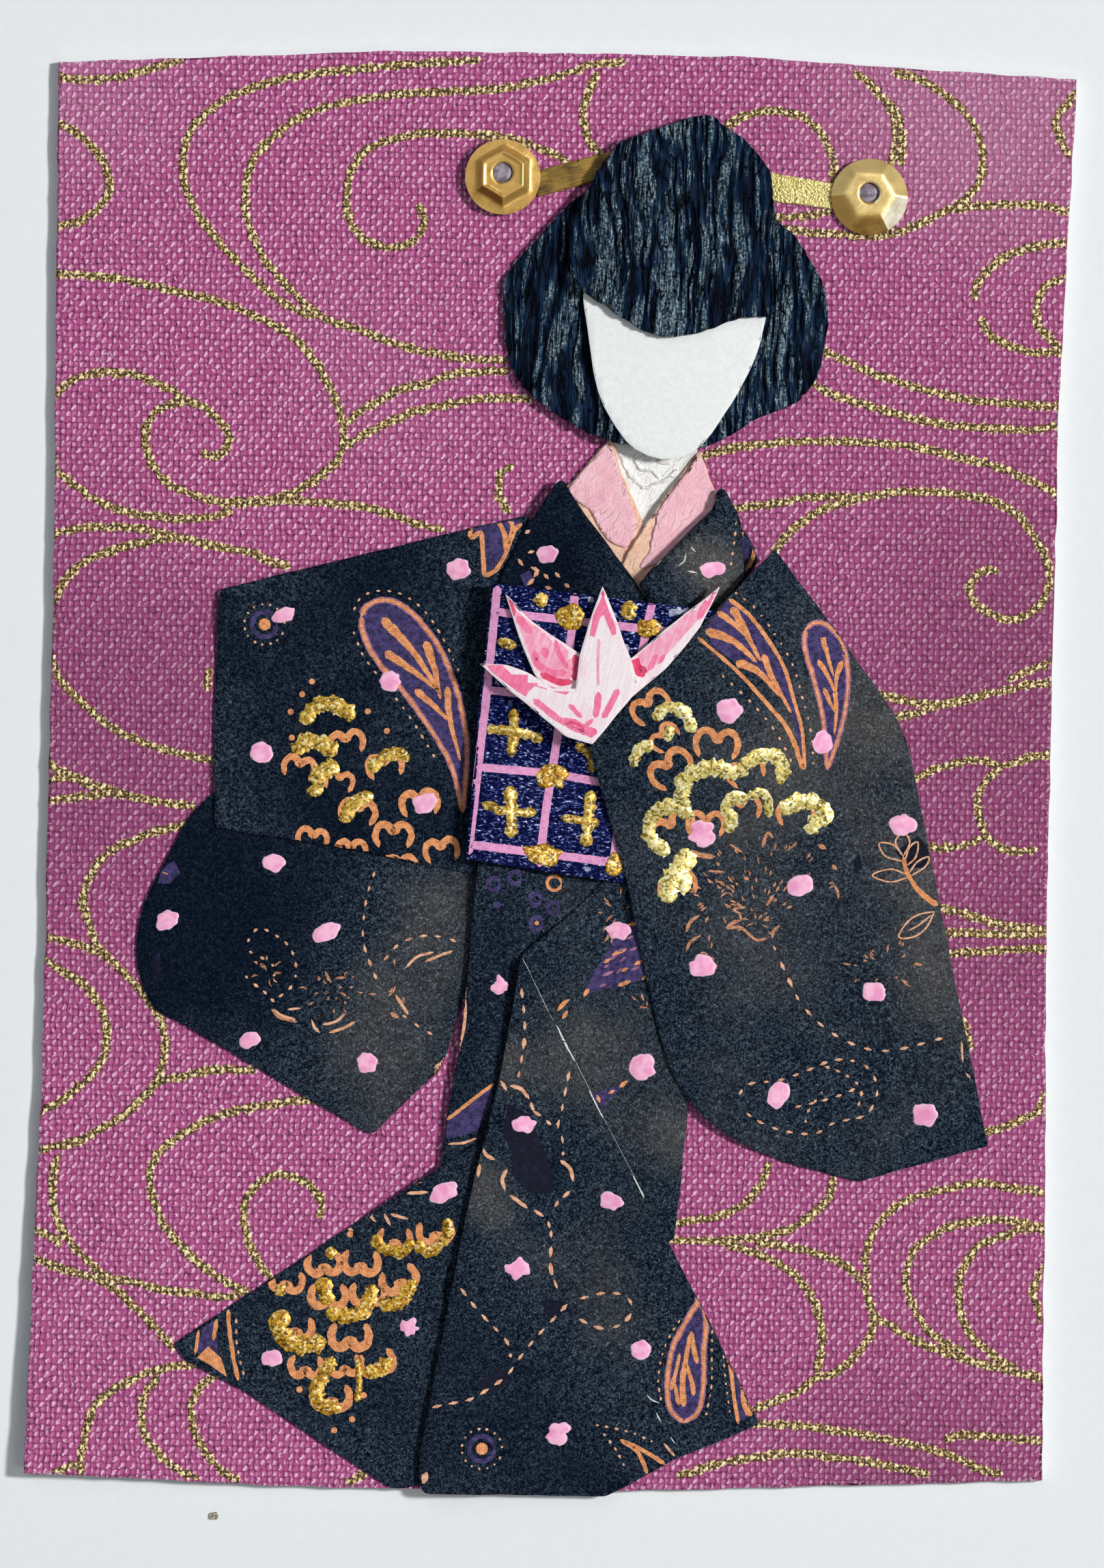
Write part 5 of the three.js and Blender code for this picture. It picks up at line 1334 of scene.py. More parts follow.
sheet("lining_strip", "lining_right", [pink_washi], step=(0.25, 0.25), torn=0.05)
sheet(
    "bodice_right_front", "bodice_right", [black, core], rim=(0.4, 0.42),
    relief=lambda x, y: crumpled(x, y, 0.9, 0.06, 7.0),
    wear_and_light_spots=((9, 13.5, 1.8, 0.9), (11, 12, 2, 0.8)),
)
design = Print("bodice_right_front")
design.dashes([(11.3, 15.8), (11.2, 14.5), (11, 13)], 0.25, 0.4, 0.17)
design.dot(9.8, 12.7, 1.65, 1.05, 5, 0.18)
for points in (
    [(7.7, 12.9), (8.1, 13.2), (8.2, 13.7)], [(8.5, 14.1), (8.8, 13.8)],
    [(8.3, 12.6), (8.9, 12.5)],
):
    design.line(points, 0.09, bare)
design.line([(6.3, 12.85), (7.75, 14.6), (9.1, 16.25), (9.9, 17.2)], 0.11, bare, lift=0.06)
design.done()


# Sash: stiff navy paper with a coarse waxy grain and printed pink lines, glued over the fronts
# and the skirt, its left end turned under. The gold dabs are glitter paint.


def paint_navy(s):
    p = place(s)
    waves = fibres(p, 8, 0.1, 0.42)
    crossing = fibres(p, -22, 0.09, 0.35)
    grain = cloud(p, 5.5, 3.0)
    tone = s.math("MAXIMUM", waves, crossing) * 0.65 + grain * 0.4
    colour = mix("#000226", "#0C144C", rise(tone, 0.48, 0.6))
    colour = mix(colour, "#46548E", rise(tone, 0.585, 0.65))
    colour = mix(colour, "#E4E8FA", rise(tone, 0.64, 0.73))
    return surface(colour, 0.65, bump(tone, 0.08), **{shine_level: 0.04})


navy = material("navy_sash_paper", paint_navy)
sheet("sash", "obi", [navy], step=(0.4, 0.4))
inks += [
    material("pink_sash_print", paint_ink("#E8A3CC", "#B56E9E", 0.3)),
    material("worn_sash_white", paint_ink("#DADCE8", "#6E7396", 0.4)),
]
pink, white = 7, 8
design = Print("sash", "navy_paper")
each(design.line, (
    ([(-3.45, 11.5), (-3.75, 8), (-4.1, 4), (-4.5, 0), (-5, -5.2)], 0.5),
    ([(1.35, 11.1), (1.1, 8), (0.45, 2.6), (0.1, 0), (-0.25, -2.5), (-0.6, -5.9)], 0.52),
    ([(6.2, 10.7), (5.95, 9.6), (5.4, 6.5), (4.8, 2), (4, -5.6)], 0.5),
    ([(-3.7, 9.9), (0.2, 9.5), (4.3, 9.1), (8.6, 8.7)], 0.5),
    ([(-4.1, 5.05), (-1, 4.75), (3, 4.4), (7.5, 4)], 0.5),
    ([(-4.6, 0.25), (0, -0.1), (3, -0.55), (5.5, -0.9)], 0.5),
    ([(-5.1, -4.55), (-0.5, -5.05), (3.5, -5.5), (4.3, -5.6)], 0.52),
), pink, lift=0.012, wobble=0.12)
for points in (
    [(2.2, 10.9), (2.5, 10.6)], [(7.6, 10), (8.4, 10.3)], [(7.2, 9.8), (7.7, 10.2)],
    [(2.2, -6), (2.6, -6)], [(4.6, 8), (4.5, 7.2)],
):
    design.line(points, 0.45, white, lift=0.02)
each(design.gild, (
    ([(-2.3, 3.9), (-2.35, 2.5), (-2.45, 0.9)], 0.55), ([(-4, 2.6), (-2.4, 2.5), (-0.5, 2)], 0.5),
    ([(-2.55, -0.9), (-2.35, -2.3), (-2.4, -4.1)], 0.62),
    ([(-4.2, -2), (-2.6, -2.5), (-0.8, -2.5)], 0.45),
    ([(2.55, -1.1), (2.4, -3), (2.3, -4.6)], 0.6), ([(0.7, -2.8), (2.2, -3), (3.1, -3.1)], 0.42),
    ([(1.5, 1.6), (2, 1.5), (2.5, 0.9), (2.6, 0)], 0.42), ([(-0.75, 11.1), (-0.7, 10.2)], 0.75),
    ([(4.8, 10.7), (4.7, 9.5)], 0.75), ([(-3.4, 8.1), (-2.8, 7.9), (-2.2, 7.8)], 0.45),
), deep_gold)
each(design.dot, (
    (1.05, 9.7, 1.75, 1.6), (5.95, 9, 1.45, 1.2), (0.2, -0.3, 1.9, 1.4), (-0.4, -5.1, 2.3, 1.4),
    (4.1, -5.7, 1.3, 1.5),
), 0, 0.2, 0.16, ochre_gold)
design.done()


# Right sleeve: one large folded sheet of the black washi, glued over sash, front and skirt. Its
# print has drops, rows of scales and stitched lines, and glitter was painted along the scales.

# Its spots are painted sheen with real wear.
sheet(
    "sleeve_right_sheet", "sleeve_right", [black, core],
    wear_and_light_spots=((17, 3, 9, 0.45), (21, 4, 4, 0.55), (13, -14, 6, 0.3), (23, -5, 4, 0.5),
          (25, -12, 4, 0.6)),
)
design = Print("sleeve_right_sheet")
each(design.fill, (
    ([(18.9, -5.2), (19.3, -4.8), (19.5, -5.7), (19, -6)],),
    ([(21.5, -4.6), (22.9, -3.6), (23.8, -4.6), (23.5, -5.6), (22.3, -5.6)],),
), dull)
tip = [(10.9, 10.9), (12.1, 10), (13.3, 8.5), (14.4, 6.7), (15.1, 4.5), (15.6, 2.7), (15.8, 0.4)]
design.fill(spline(tip, 0.3) + [Vector(p) for p in ((14.9, 3.9), (13.8, 5.8), (12.6, 6.7),
    (11.2, 7.1), (10, 7.9), (9.5, 8.9), (10.1, 10))])
design.line(tip, 0.26, orange, ends=(1, 0.8))
design.line([(9, 8.5), (11.5, 6.4), (13.5, 4.3), (14.8, 2.7), (15.7, 0.4)], 0.2, orange,
    ends=(1, 1.6))
design.leaf(
    [(15.7, 9.1), (16.2, 9.5), (17, 9.4), (17.8, 8.6), (18.3, 7.2), (18.4, 5.3), (18, 2.9),
      (17.2, 0.4)], [(15.7, 9.1), (15.65, 8), (16.3, 5.9), (16.9, 3.5), (17.2, 0.4)], 0.18,
)
each(design.line, (
    ([(9.5, 8.9), (11.2, 8.3), (12.7, 7)], 0.55), ([(10.2, 10.1), (11.3, 9.3), (12.4, 8.2)], 0.36),
    ([(11.1, 10.4), (11.8, 9.2), (12.9, 7.1)], 0.5), ([(11.4, 7), (12.8, 6.4), (14.2, 4.9)], 0.5),
    ([(13.1, 7.5), (13.7, 6), (14.9, 3.9)], 0.42), ([(16.7, 8.8), (17.1, 7.5), (17.5, 6.2)], 0.34),
    ([(16.5, 7.2), (17.1, 6.3), (17.6, 5.2)], 0.34), ([(18, 7.2), (17.7, 6.2), (17.6, 5)], 0.34),
    ([(16.9, 5.5), (17.3, 4.6), (17.7, 3.9)], 0.3), ([(17.6, 5.4), (17.7, 4), (17.6, 2.6)], 0.3),
), orange, ends=(1.1, 0.4))
design.dashes(tip, 0.2, 0.5, 0.15, away=0.55)
design.dashes([(10.5, 6.2), (12.5, 4.4), (14, 2.6), (15.1, 0.6)], 0.26, 0.5, 0.17)
each(design.scallop, (
    (6.1, 4.2, 1.15, 35), (7, 2.3, 0.9, 50), (7.4, 0.4, 1.3, 40), (10.3, 2, 1.3, -4),
    (9.7, -3, 1.1, 0), (12.1, 0.3, 1.1, 25), (11.9, -2, 1.1, 10), (15.3, -2.2, 1.1, 5),
    (7.6, -3.3, 1.3, 30), (8, -6.9, 1.1, 20),
), 0.36)
each(design.gild, (
    ([(6.4, 3.3), (7, 4), (7.9, 4), (8.5, 3.4), (8.9, 2.6)], 0.65), ([(7.4, 3), (7.2, 2)], 0.5),
    ([(5.1, 0.4), (5.3, 1.2), (5.8, 1.7), (6.3, 1.5)], 0.6),
    ([(8.5, -2.3), (8.1, -1.3), (8.6, -0.1), (9.7, 0.4), (10.8, 0.3), (11.6, -0.2)], 0.85),
    ([(11.7, -0.1), (12.3, 0.9), (13.4, 1.3), (14.3, 0.9), (14.4, 0), (14.2, -0.5)], 0.75),
    ([(8.9, -2.6), (7.8, -2), (6.8, -2.2), (6.2, -3), (6.2, -3.9), (6.9, -4.6), (7.5, -4.9)],
      0.75), ([(11.1, -3.6), (11.3, -2.7), (10.9, -2), (11.5, -1.4), (12.3, -1.6)], 0.65),
    ([(12.3, -1.4), (13.1, -1.1), (13.6, -1.7), (13.6, -2.6)], 0.48),
    ([(14.5, -2.4), (14.9, -1.8), (15.8, -1.5), (16.7, -1.8), (17.1, -2.4), (16.4, -3),
      (16.1, -3.6)], 0.85), ([(8.5, -4.6), (8.4, -5.4), (7.9, -6.2), (7.4, -7), (7.6, -8)], 1.15),
    ([(7.9, -6.7), (8.9, -6.6)], 1.45),
), pale_gold)
each(design.burst, (
    ((13.2, -8.8), 1.4, 5.2, 62, 8, 0.9, (20, 165)), ((12.9, -9.1), 0.2, 1.4, 13, 9, 0.8),
    ((10.4, -7.8), 0.4, 1.8, 12, 10), ((10.1, -11), 0.3, 1.1, 6, 13),
))
each(design.line, (
    ([(11.1, -9.55), (11.9, -9.45), (12.4, -9.8), (13, -10.25), (13.6, -10.1)], 0.18),
    ([(11.05, -9.5), (11.5, -9.2), (12, -9)], 0.2),
    ([(12, -9), (11.9, -8.6), (11.5, -8.35), (12.3, -8.2)], 0.15),
    ([(8.6, -9.8), (8.8, -9.2), (9.4, -8.75)], 0.2),
    ([(8.6, -11), (8.85, -10.4), (9.5, -10)], 0.18), ([(13.55, -8.1), (14, -7.4)], 0.2),
    ([(13.95, -10.1), (14, -9.7), (14.4, -9.3)], 0.2),
    ([(8.8, -4.7), (9.3, -5), (10.3, -5.1)], 0.28), ([(9.9, -5.97), (10.9, -6.05)], 0.15),
    ([(13.25, -4.5), (13.4, -3.9), (13.6, -3.55), (13.9, -3.9)], 0.2),
    ([(11.2, -4.3), (12, -4.8)], 0.16), ([(15, -4.5), (15.4, -4.1)], 0.15),
    ([(16.7, -4.25), (17.2, -4.5)], 0.3), ([(17.6, -5.5), (17.9, -5.8)], 0.25),
    ([(17.7, -6.7), (18, -7.2), (18, -7.6)], 0.17),
), thin)
each(design.dashes, (
    ([(14, -10.5), (14.8, -12.2), (16, -14.4), (18.2, -16.2), (21, -17), (24.8, -16.1)], 0.5, 0.6,
      0.2),
    ([(12, -19.9), (12.6, -19.2), (14.6, -18.9), (16.2, -18.3), (18, -17.6), (19.6, -17.8),
      (20.4, -18.6), (20.6, -19.7), (19.9, -21), (18, -21.5), (16.8, -22.2), (15, -22.1),
      (13.5, -21.6), (12.2, -20.8)], 0.42, 0.5),
    ([(15.5, -20.6), (17, -20.2), (18.3, -19.8), (19.6, -19.2)], 0.4, 0.45),
    ([(17.3, -18), (18.6, -18.5), (19.6, -19.4), (19.4, -20.7)], 0.3, 0.4),
    ([(16.2, -21.6), (16.3, -20.9), (17.2, -19.6)], 0.3, 0.4),
))
design.line([(24.2, -7.9), (23.2, -7.2), (22.3, -6), (22, -4.9)], 0.3, orange, ends=(1.2, 0.8))
for points in (
    [(22, -4.9), (21.4, -4.2), (20.5, -4.1), (20.9, -4.9), (22, -5.2)],
    [(22.2, -6), (21.2, -5.7), (20.1, -6.1), (21.2, -6.5), (22.3, -6.2)],
    [(22, -4.9), (21.5, -4), (22, -3.4), (22.4, -4), (22, -4.9)],
    [(22.1, -5.2), (22.4, -4.3), (22.9, -4), (22.8, -4.9), (22.2, -5.5)],
    [(22.4, -5.9), (22.9, -5.2), (23.6, -4.9), (23.4, -5.5), (22.5, -6.1)],
    [(24, -8.3), (23, -8.5), (22.3, -9), (21.8, -9.9), (22.7, -9.9), (23.5, -9.3), (24, -8.3)],
    [(23.8, -8.5), (23.1, -9.1), (22.4, -9.5)],
):
    design.line(points, 0.1, faint)
each(design.line, (([(25.8, -16.3), (25.9, -17.6)],), ([(26.1, -18.3), (26.4, -18.6)],)), 0.13)
design.burst((21, -12), 0.7, 2.5, 18, 12)
each(design.dot, (
    (11, 4, 1.75, 1.45, 10, 0.12), (16.9, 2.1, 1.3, 1.5, 0, 0.1),
    (21.9, -2.9, 1.75, 1.35, 5, 0.15), (15.6, -6.8, 1.7, 1.3, 25, 0.1),
    (20.4, -13.4, 1.6, 1.3, 0, 0.2), (14.5, -19.8, 1.4, 1.8, -25, 0.1),
    (23.6, -20.9, 1.65, 1.5, 0, 0.14), (9.5, -3.7, 1.85, 1.5, 0, 0.28),
    (9.6, -11.9, 1.65, 1.35, 0, 0.15),
))
design.done()


# Sash flower: four petals cut from thin white card and tinted by hand in three pinks. Two are
# glued to the sash and two on top of them.


def paint_petal(s):
    p = place(s)
    streak = fibres(p, 75, 0.12, 1.8)
    laid = cloud(p, 6.0, 2.0)
    blush = cloud(p, 0.35, 2.0)
    colour = mix("#F7EDEE", "#EFDCE0", rise(streak * 0.6 + laid * 0.4, 0.4, 0.65))
    colour = mix(colour, "#F6C3D0", rise(blush, 0.45, 0.75) * 0.5)
    return surface(colour, 0.75, bump(streak + laid, 0.02))


petal = material("white_petal_card", paint_petal)
sheet("flower_back_petals", "flower_back", [petal], step=(0.4, 0.4), sway=0.06)


def paint_wash(bright, pale, hold):
    """Thin brushed paint, in streaks along the petal."""
    def paint(s):
        p = place(s)
        streak = fibres(p, 70, 0.16, 1.5)
        tone = streak * 0.6 + cloud(p, 2.2, 3.0) * 0.45
        colour = mix(bright, pale, rise(tone, hold, hold + 0.3))
        return surface(colour, 0.6, bump(tone, 0.03))
    return paint


inks += [
    material("pale_pink_wash", paint_wash("#F092B2", "#F7BACB", 0.4)),
    material("pink_wash", paint_wash("#EE6A96", "#F48BAD", 0.42)),
    material("red_pink_wash", paint_wash("#D9305F", "#E8628A", 0.45)),
]
pale_wash, pink_wash, red_wash = 9, 10, 11
design = Print("flower_back_petals", "flower_card")
each(design.fill, (
    ([(-2.65, 10.3), (-1.2, 9.1), (1.7, 7.5), (1.6, 6), (0.9, 5.7), (-0.4, 5.9), (-1.1, 6.5),
      (-2.1, 9)],), ([(5.3, 7.3), (8.4, 10), (10, 11.5), (9.1, 9.7), (7.3, 7.6), (5.9, 6.2)],),
), pale_wash)
each(design.line, (
    ([(-2.85, 10.9), (-2.6, 10.2), (-2.4, 9.6)], 0.4, red_wash),
    ([(-2.2, 9.6), (-1.3, 8.6)], 0.5, pink_wash),
    ([(1.4, 7.3), (1.5, 6.6), (1.4, 5.7)], 0.42, red_wash),
    ([(1.3, 5.6), (0.4, 5.6), (-0.7, 6.1)], 0.4, red_wash),
    ([(-0.6, 7.7), (-0.3, 7.1)], 0.5, pink_wash), ([(-1.1, 7.3), (-0.9, 6.8)], 0.45, pink_wash),
    ([(0.2, 8.2), (0.4, 7.4), (1, 6.4)], 0.3, pink_wash),
    ([(-1.1, 7.5), (-0.9, 6.7), (0.1, 6.15), (0.9, 6.2)], 0.4, pink_wash),
    ([(10.1, 11.6), (9.6, 10.7), (9, 9.6)], 0.42, pink_wash),
    ([(10.15, 11.7), (9.8, 11.1)], 0.3, red_wash),
    ([(5, 7.3), (5.3, 6.6), (5.7, 6)], 0.6, red_wash), ([(5.4, 6.6), (5.9, 6.3)], 0.5, red_wash),
    ([(6, 6.4), (6.5, 7.4)], 0.35, pink_wash), ([(6.6, 6.8), (7, 7.4)], 0.25, pink_wash),
), lift=0.02)
design.done()
sheet("flower_front_petals", "flower_front", [petal], step=(0.4, 0.4), sway=0.06)
design = Print("flower_front_petals", "flower_card")
each(design.fill, (
    ([(-4.1, 6.6), (-2.4, 6.55), (-1.3, 6.2), (0.1, 5.7), (1.35, 5.2), (0.9, 4.8), (-0.3, 5.1),
      (-1.05, 5.3), (-1.4, 5), (-1.6, 4.65), (-2.2, 5), (-3.8, 6.2)],),
    ([(0.8, 3.4), (1.5, 3.3), (2.2, 2.9), (2.75, 2.75), (2.9, 2.45), (2.5, 2.15), (1.8, 2.5),
      (1.1, 3)],),
    ([(3.1, 11.1), (3.5, 10), (3.9, 9.1), (3.95, 8.6), (3.7, 8.5), (3.4, 9.2), (3.15, 9.8),
      (2.95, 9.6), (2.75, 8.9), (2.6, 8.4), (2.3, 8.5), (2.5, 9.7)],),
), pink_wash)
each(design.line, (
    ([(-1.1, 4.5), (0, 3.6), (1.2, 2.9), (2.3, 2.4)], 0.4, pink_wash),
    ([(0.9, 3.1), (1.5, 2.9), (2.1, 2.5)], 0.35, red_wash),
    ([(1.1, 4.2), (1.5, 3.8), (1.9, 3.4)], 0.3, pink_wash),
    ([(2.9, 5), (2.85, 4.2), (2.75, 3.4)], 0.4, pink_wash),
    ([(4.15, 5.2), (3.7, 4.3), (3.2, 3.4)], 0.38, pink_wash),
    ([(3.1, 11.3), (3.1, 10.9)], 0.25, red_wash), ([(2.75, 2.6), (2.85, 2.6)], 0.3, red_wash),
    ([(-0.9, 6.2), (0.2, 5.7), (1.2, 5.5)], 0.22, red_wash),
    ([(2.9, 8.3), (2.85, 6.8), (2.9, 5.4)], 0.18, pale_wash),
    ([(2.6, 3.3), (2.2, 2.9), (2.4, 2.4)], 0.3, pink_wash),
), lift=0.02)
design.done()


# Head: bobbed back hair and a crown with its fringe, both torn from crimped crepe paper, and
# between them the blank face of white card. The three are glued one on top of the other.


def crimp(x, y, seed):
    """The crepe's crimps: upright lumps between narrow grooves that wander, fork and run out."""
    bend = 0.9 * noise.noise((x * 0.3, y * 0.16, seed)) + 0.3 * noise.noise((x, y * 0.5, seed + 1))
    bend += 0.08 * noise.noise((x * 2.4, y * 1.8, seed + 2))
    u = x + bend
    wide = abs(noise.noise((u * 2.1, y * 0.15, seed + 5)))
    fine = abs(noise.noise((u * 3.9, y * 0.3, seed + 7)))
    knots = 0.5 * noise.noise((u * 2.0, y * 1.2, seed + 9))
    return 0.55 * ((2.2 * wide) ** 0.55 * 0.62 + (2.2 * fine) ** 0.6 * 0.38 * (1 + knots) - 0.5)


def paint_crepe(s):
    p = place(s)
    crest = attribute(s, "crest")
    thin = fibres(p, 86, 0.06, 0.9)
    speckle = cloud(p, 6.5, 2.0)
    # Painted light and shade: the crepe is darker low in its crimps and lighter on their crests.
    tone = rise(crest + (thin - 0.5) * 0.1, -0.12, 0.1)
    colour = mix("#000519", "#0A2540", tone)
    first = s.math("ABSOLUTE", fibres(p, 87, 0.55, 4.0) - 0.5)
    second = s.math("ABSOLUTE", fibres(p, 93, 0.5, 3.0) - 0.5)
    # The grooves' near-black is painted shade, the ridge mask is a painted highlight on the crests,
    # and the glints are painted glints.
    groove = 1.0 - rise(first, 0.005, 0.032) * (rise(second, 0.004, 0.026) * 0.8 + 0.2)
    ridge = rise(crest + (thin - 0.5) * 0.2 + (cloud(p, 1.6, 2.0) - 0.5) * 0.1, 0.06, 0.2)
    colour = mix(colour, "#7C9198", ridge * rise(thin * 0.4 + speckle * 0.7, 0.44, 0.68))
    glint = rise(speckle + thin * 0.2, 0.72, 0.86) * ridge
    colour = mix(colour, "#C4CDCE", glint * 0.8)
    colour = mix(colour, "#00030A", groove)
    relief = thin * 0.6 + speckle * 0.5 - groove * 1.4
    return surface(colour, 0.6, bump(relief, 0.08), **{shine_level: 0.08})


crepe = material("black_crepe", paint_crepe)
sheet(
    "hair_back_bob", "hair_back", [crepe], step=(0.09, 0.4), sway=0.14, torn=0.13,
    relief=lambda x, y: crimp(x, y, 1.5), rim=(0.08, 0.1),
)


def paint_face(s):
    p = place(s)
    pulp = cloud(p, 3.0, 3.0)
    fine = cloud(p, 12.0, 1.0)
    colour = mix("#E7EAE8", "#F0F2EF", rise(pulp * 0.6 + fine * 0.4, 0.35, 0.65))
    return surface(colour, 0.8, bump(pulp + fine, 0.008))


face_card = material("white_face_card", paint_face)
sheet("face_card", "face", [face_card], step=(0.6, 0.6), sway=0.05)
sheet(
    "hair_front_fringe", "hair_front", [crepe], step=(0.09, 0.4), sway=0.14, torn=0.13,
    relief=lambda x, y: crimp(x, y, 7.5), rim=(0.08, 0.1),
)


# Sequins: two pressed cups of gold-coated film, each held by a drop of glue on the end of its
# strip. The left one has a raised hexagon on a flat flange, the right one six polished facets.


def paint_sequin(s):
    """Gold film with painted reflections. The shine attribute is high on the facets that lean
    towards the window lamp, and low, in painted shade, on the one that leans away.
    """
    p = place(s)
    tarnish = cloud(p, 1.3, 3.0)
    scratch = fibres(p, 60, 0.03, 1.2)
    shine = attribute(s, "shine") + (tarnish - 0.5) * 0.35
    colour = mix("#8A5A1E", "#CFA458", rise(shine, 0.0, 0.35))
    colour = mix(colour, "#4E2C0C", 1.0 - rise(shine, -0.3, 0.05))
    colour = mix(colour, "#F4D48A", rise(shine, 0.35, 0.65))
    colour = mix(colour, "#FFF5DA", rise(shine, 0.72, 0.92))
    colour = mix(colour, "#6E5522", rise(tarnish, 0.62, 0.8) * 0.5)
    rough = rise(tarnish, 0.2, 0.9) * 0.2 + 0.2
    return surface(colour, rough, bump(scratch + tarnish, 0.008), Metallic=0.55)


def paint_glue(s):
    p = place(s)
    film = cloud(p, 2.5, 3.0)
    colour = mix("#6F6270", "#A79AA4", rise(film, 0.35, 0.65))
    return surface(colour, 0.35, bump(film, 0.03))


sequin_gold = material("gold_sequin_film", paint_sequin)
clear_glue = material("dried_glue", paint_glue)


def sequin(name, node, turn, flange):
    """A cup sequin: hole, hexagon, facets and rim, on the place of its CAD node."""
    low, high = [corner * per_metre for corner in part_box(node)]
    centre = (low + high) / 2
    radius = (high.x - low.x) / 2
    wall, hole, hexagon, off_centre = 0.12, 0.625, 1.525, 0.25
    flange_start, lip, fold = 1.9, 0.05, 0.09
    tall = high.z - low.z - wall
    apothem = hexagon * math.cos(math.pi / 6)
    segments, rings = 96, 26
    bm = bmesh.new()
    shells = []
    for side in (wall, 0):
        shell = []
        for k in range(rings + 1):
            r = hole + (radius - hole) * k / rings
            row = []
            for j in range(segments):
                a = turn + math.tau * j / segments
                sector = (a - turn) % (math.pi / 3) - math.pi / 6
                out = r * math.cos(sector) - apothem
                if flange:
                    ridge = 0.08 * math.exp(-((out + 0.08) / 0.13) ** 2)
                    drop = (tall - 0.12) / (1 + math.exp(-(out - 0.16) / 0.08))
                    z = tall - 0.1 - drop + ridge - lip * max(0, r - flange_start)
                else:
                    slope = tall / (radius - apothem)
                    z = tall - slope * fold * math.log(1 + math.exp(out / fold))
                z = max(0.0, z) - lip * max(0, 1 - (r - hole) / 0.1)
                shift = off_centre * (1 - (r - hole) / (radius - hole))
                row.append(bm.verts.new((
                    centre.x + r * math.cos(a), centre.y + r * math.sin(a) + shift,
                    low.z + z + side,
                )))
            shell.append(row)
        shells.append(shell)
    upper, lower = shells
    shine = bm.faces.layers.float.new("shine")
    for j in range(segments):
        n = (j + 1) % segments
        facet = turn + math.pi / 3 * (math.floor(6 * j / segments) + 0.5)
        for k in range(rings):
            face = bm.faces.new((upper[k][j], upper[k + 1][j], upper[k + 1][n], upper[k][n]))
            face.normal_update()
            lean = min(1, 1.6 * math.hypot(face.normal.x, face.normal.y)) * (0.35 if flange else 1)
            # Painted reflections per face: brighter on the facet towards the window lamp at the
            # lower right, painted shade on the lower left one.
            face[shine] = 0.34 if flange else 0.62
            face[shine] += lean * 0.4 * max(0, math.cos(facet + math.radians(35))) ** 2
            face[shine] -= lean * 0.95 * max(0, math.cos(facet + math.radians(110))) ** 3
            bm.faces.new((lower[k][j], lower[k][n], lower[k + 1][n], lower[k + 1][j]))
        bm.faces.new((upper[0][j], upper[0][n], lower[0][n], lower[0][j]))
        bm.faces.new((upper[-1][j], lower[-1][j], lower[-1][n], upper[-1][n]))
    piece(name, bm, [sequin_gold], node, sharp=60)
    glue = bmesh.new()
    spin = Vector((centre.x, centre.y + off_centre, low.z + tall * 0.45))
    wide, count = hole + 0.03, 24
    rows = []
    for share, high in ((1.0, -0.1), (1.0, 0.0), (0.75, 0.07), (0.4, 0.1)):
        rows.append([glue.verts.new(spin + Vector((
            wide * share * math.cos(math.tau * k / count),
            wide * share * math.sin(math.tau * k / count), high,
        ))) for k in range(count)])
    for a_row, b_row in zip(rows, rows[1:]):
        for k in range(count):
            n = (k + 1) % count
            glue.faces.new((a_row[k], a_row[n], b_row[n], b_row[k]))
    glue.faces.new(rows[-1])
    glue.faces.new(list(reversed(rows[0])))
    piece(name.replace("cup", "glue"), glue, [clear_glue])


sequin("sequin_left_cup", "sequin_left", math.pi / 2, True)
sequin("sequin_right_cup", "sequin_right", 0.0, False)


# Table, light and camera: a pale table with one crumb on it, a key light from the right, two
# wider and weaker ones, and a camera straight above, turned by the photo's own small angle.


def paint_table(s):
    colour = mix("#E4E7E9", "#EAEDEE", cloud(place(s), 1.5, 3.0))
    return {"Base Color": colour, "Roughness": 0.9}


table = material("pale_table", paint_table)
floor_mesh = bpy.data.meshes.new("table_top")
floor_height = -0.00005
corners = [(x, y, floor_height) for x, y in ((-1, -1), (1, -1), (1, 1), (-1, 1))]
floor_mesh.from_pydata(corners, [], [(0, 1, 2, 3)])
floor_mesh.materials.append(table)
floor = bpy.data.objects.new("table_top", floor_mesh)
bpy.context.scene.collection.objects.link(floor)


def paint_crumb(s):
    grit = rise(cloud(place(s), 5.0, 2.0), 0.35, 0.65)
    return {"Base Color": mix("#6E675A", "#B9AF9A", grit), "Roughness": 0.9}


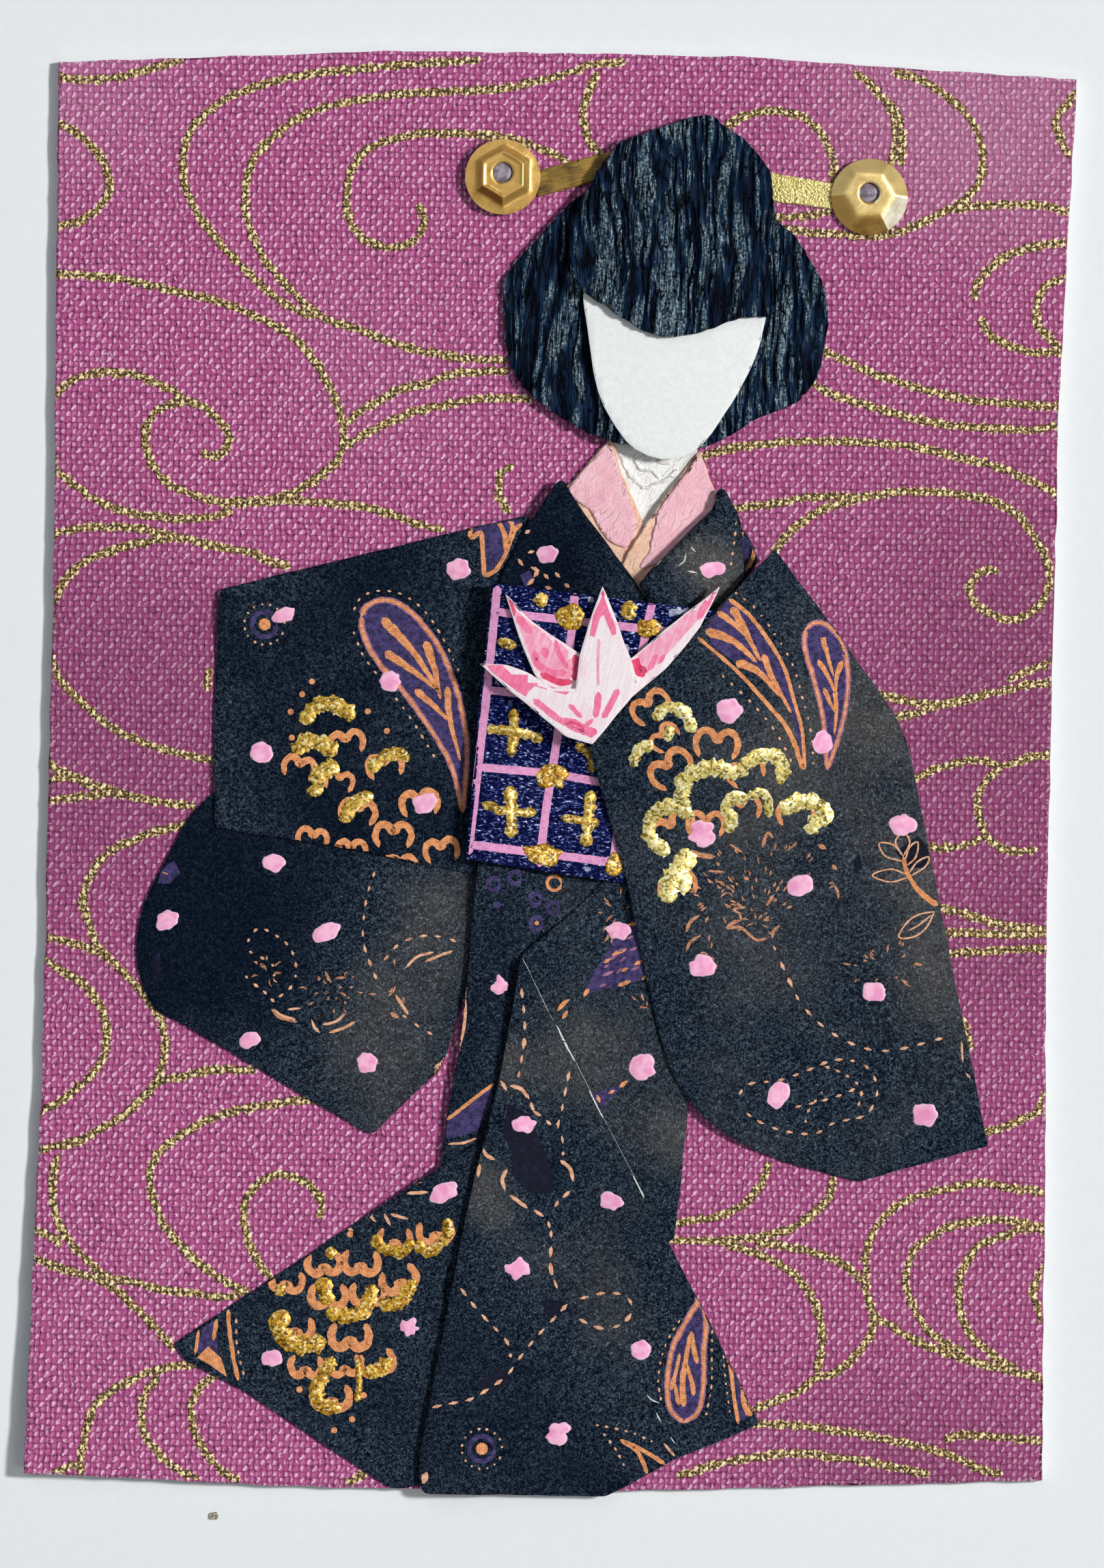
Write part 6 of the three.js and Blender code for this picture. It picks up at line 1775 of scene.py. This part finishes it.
crumb_shape = bmesh.new()
bmesh.ops.create_icosphere(crumb_shape, subdivisions=3, radius=0.2)
for v in crumb_shape.verts:
    v.co *= 1 + 0.8 * noise.noise(v.co * 6)
    v.co = Vector((v.co.x * 1.3 - 20.2, v.co.y - 46.6, v.co.z * 0.7 + 0.06)) / per_metre
crumb_mesh = bpy.data.meshes.new("crumb")
crumb_shape.to_mesh(crumb_mesh)
crumb_shape.free()
crumb_mesh.materials.append(material("crumb", paint_crumb))
crumb = bpy.data.objects.new("crumb", crumb_mesh)
bpy.context.scene.collection.objects.link(crumb)

world = bpy.data.worlds.new("room")
world.use_nodes = True
sky = world.node_tree.nodes["Background"].inputs
sky["Color"].default_value = (0.78, 0.85, 0.95, 1)
sky["Strength"].default_value = 0.175
bpy.context.scene.world = world


def lamp(name, azimuth, elevation, distance, size, power, colour):
    """A round soft light that looks at the card, its azimuth counted from +X towards +Y."""
    data = bpy.data.lights.new(name, "AREA")
    data.shape = "DISK"
    data.size = size
    data.energy = power
    data.color = colour
    made = bpy.data.objects.new(name, data)
    a, e = math.radians(azimuth), math.radians(elevation)
    way = Vector((math.cos(a) * math.cos(e), math.sin(a) * math.cos(e), math.sin(e)))
    made.location = way * distance
    made.rotation_euler = way.to_track_quat("Z", "Y").to_euler()
    bpy.context.scene.collection.objects.link(made)


lamp("key", 12, 57, 1.6, 0.2, 20.0, (1.0, 1.0, 0.99))
lamp("window", -40, 62, 1.6, 0.5, 2.5, (1.0, 0.98, 0.95))
lamp("fill", 120, 64, 1.6, 1.2, 2.9, (0.88, 0.94, 1.0))

camera_data = bpy.data.cameras.new("camera")
camera = bpy.data.objects.new("camera", camera_data)
pixels_per_mm = 23.54
picture_width = 1617
sensor = 36
distance = 1.2
camera_data.sensor_fit = "HORIZONTAL"
camera_data.sensor_width = sensor
camera_data.lens = sensor * distance / (picture_width / pixels_per_mm / per_metre)
camera.location = (0.000113, -0.000738, distance)
camera.rotation_euler = (0, 0, math.radians(0.89))
bpy.context.scene.collection.objects.link(camera)
bpy.context.scene.camera = camera
bpy.context.scene.view_settings.view_transform = "Standard"
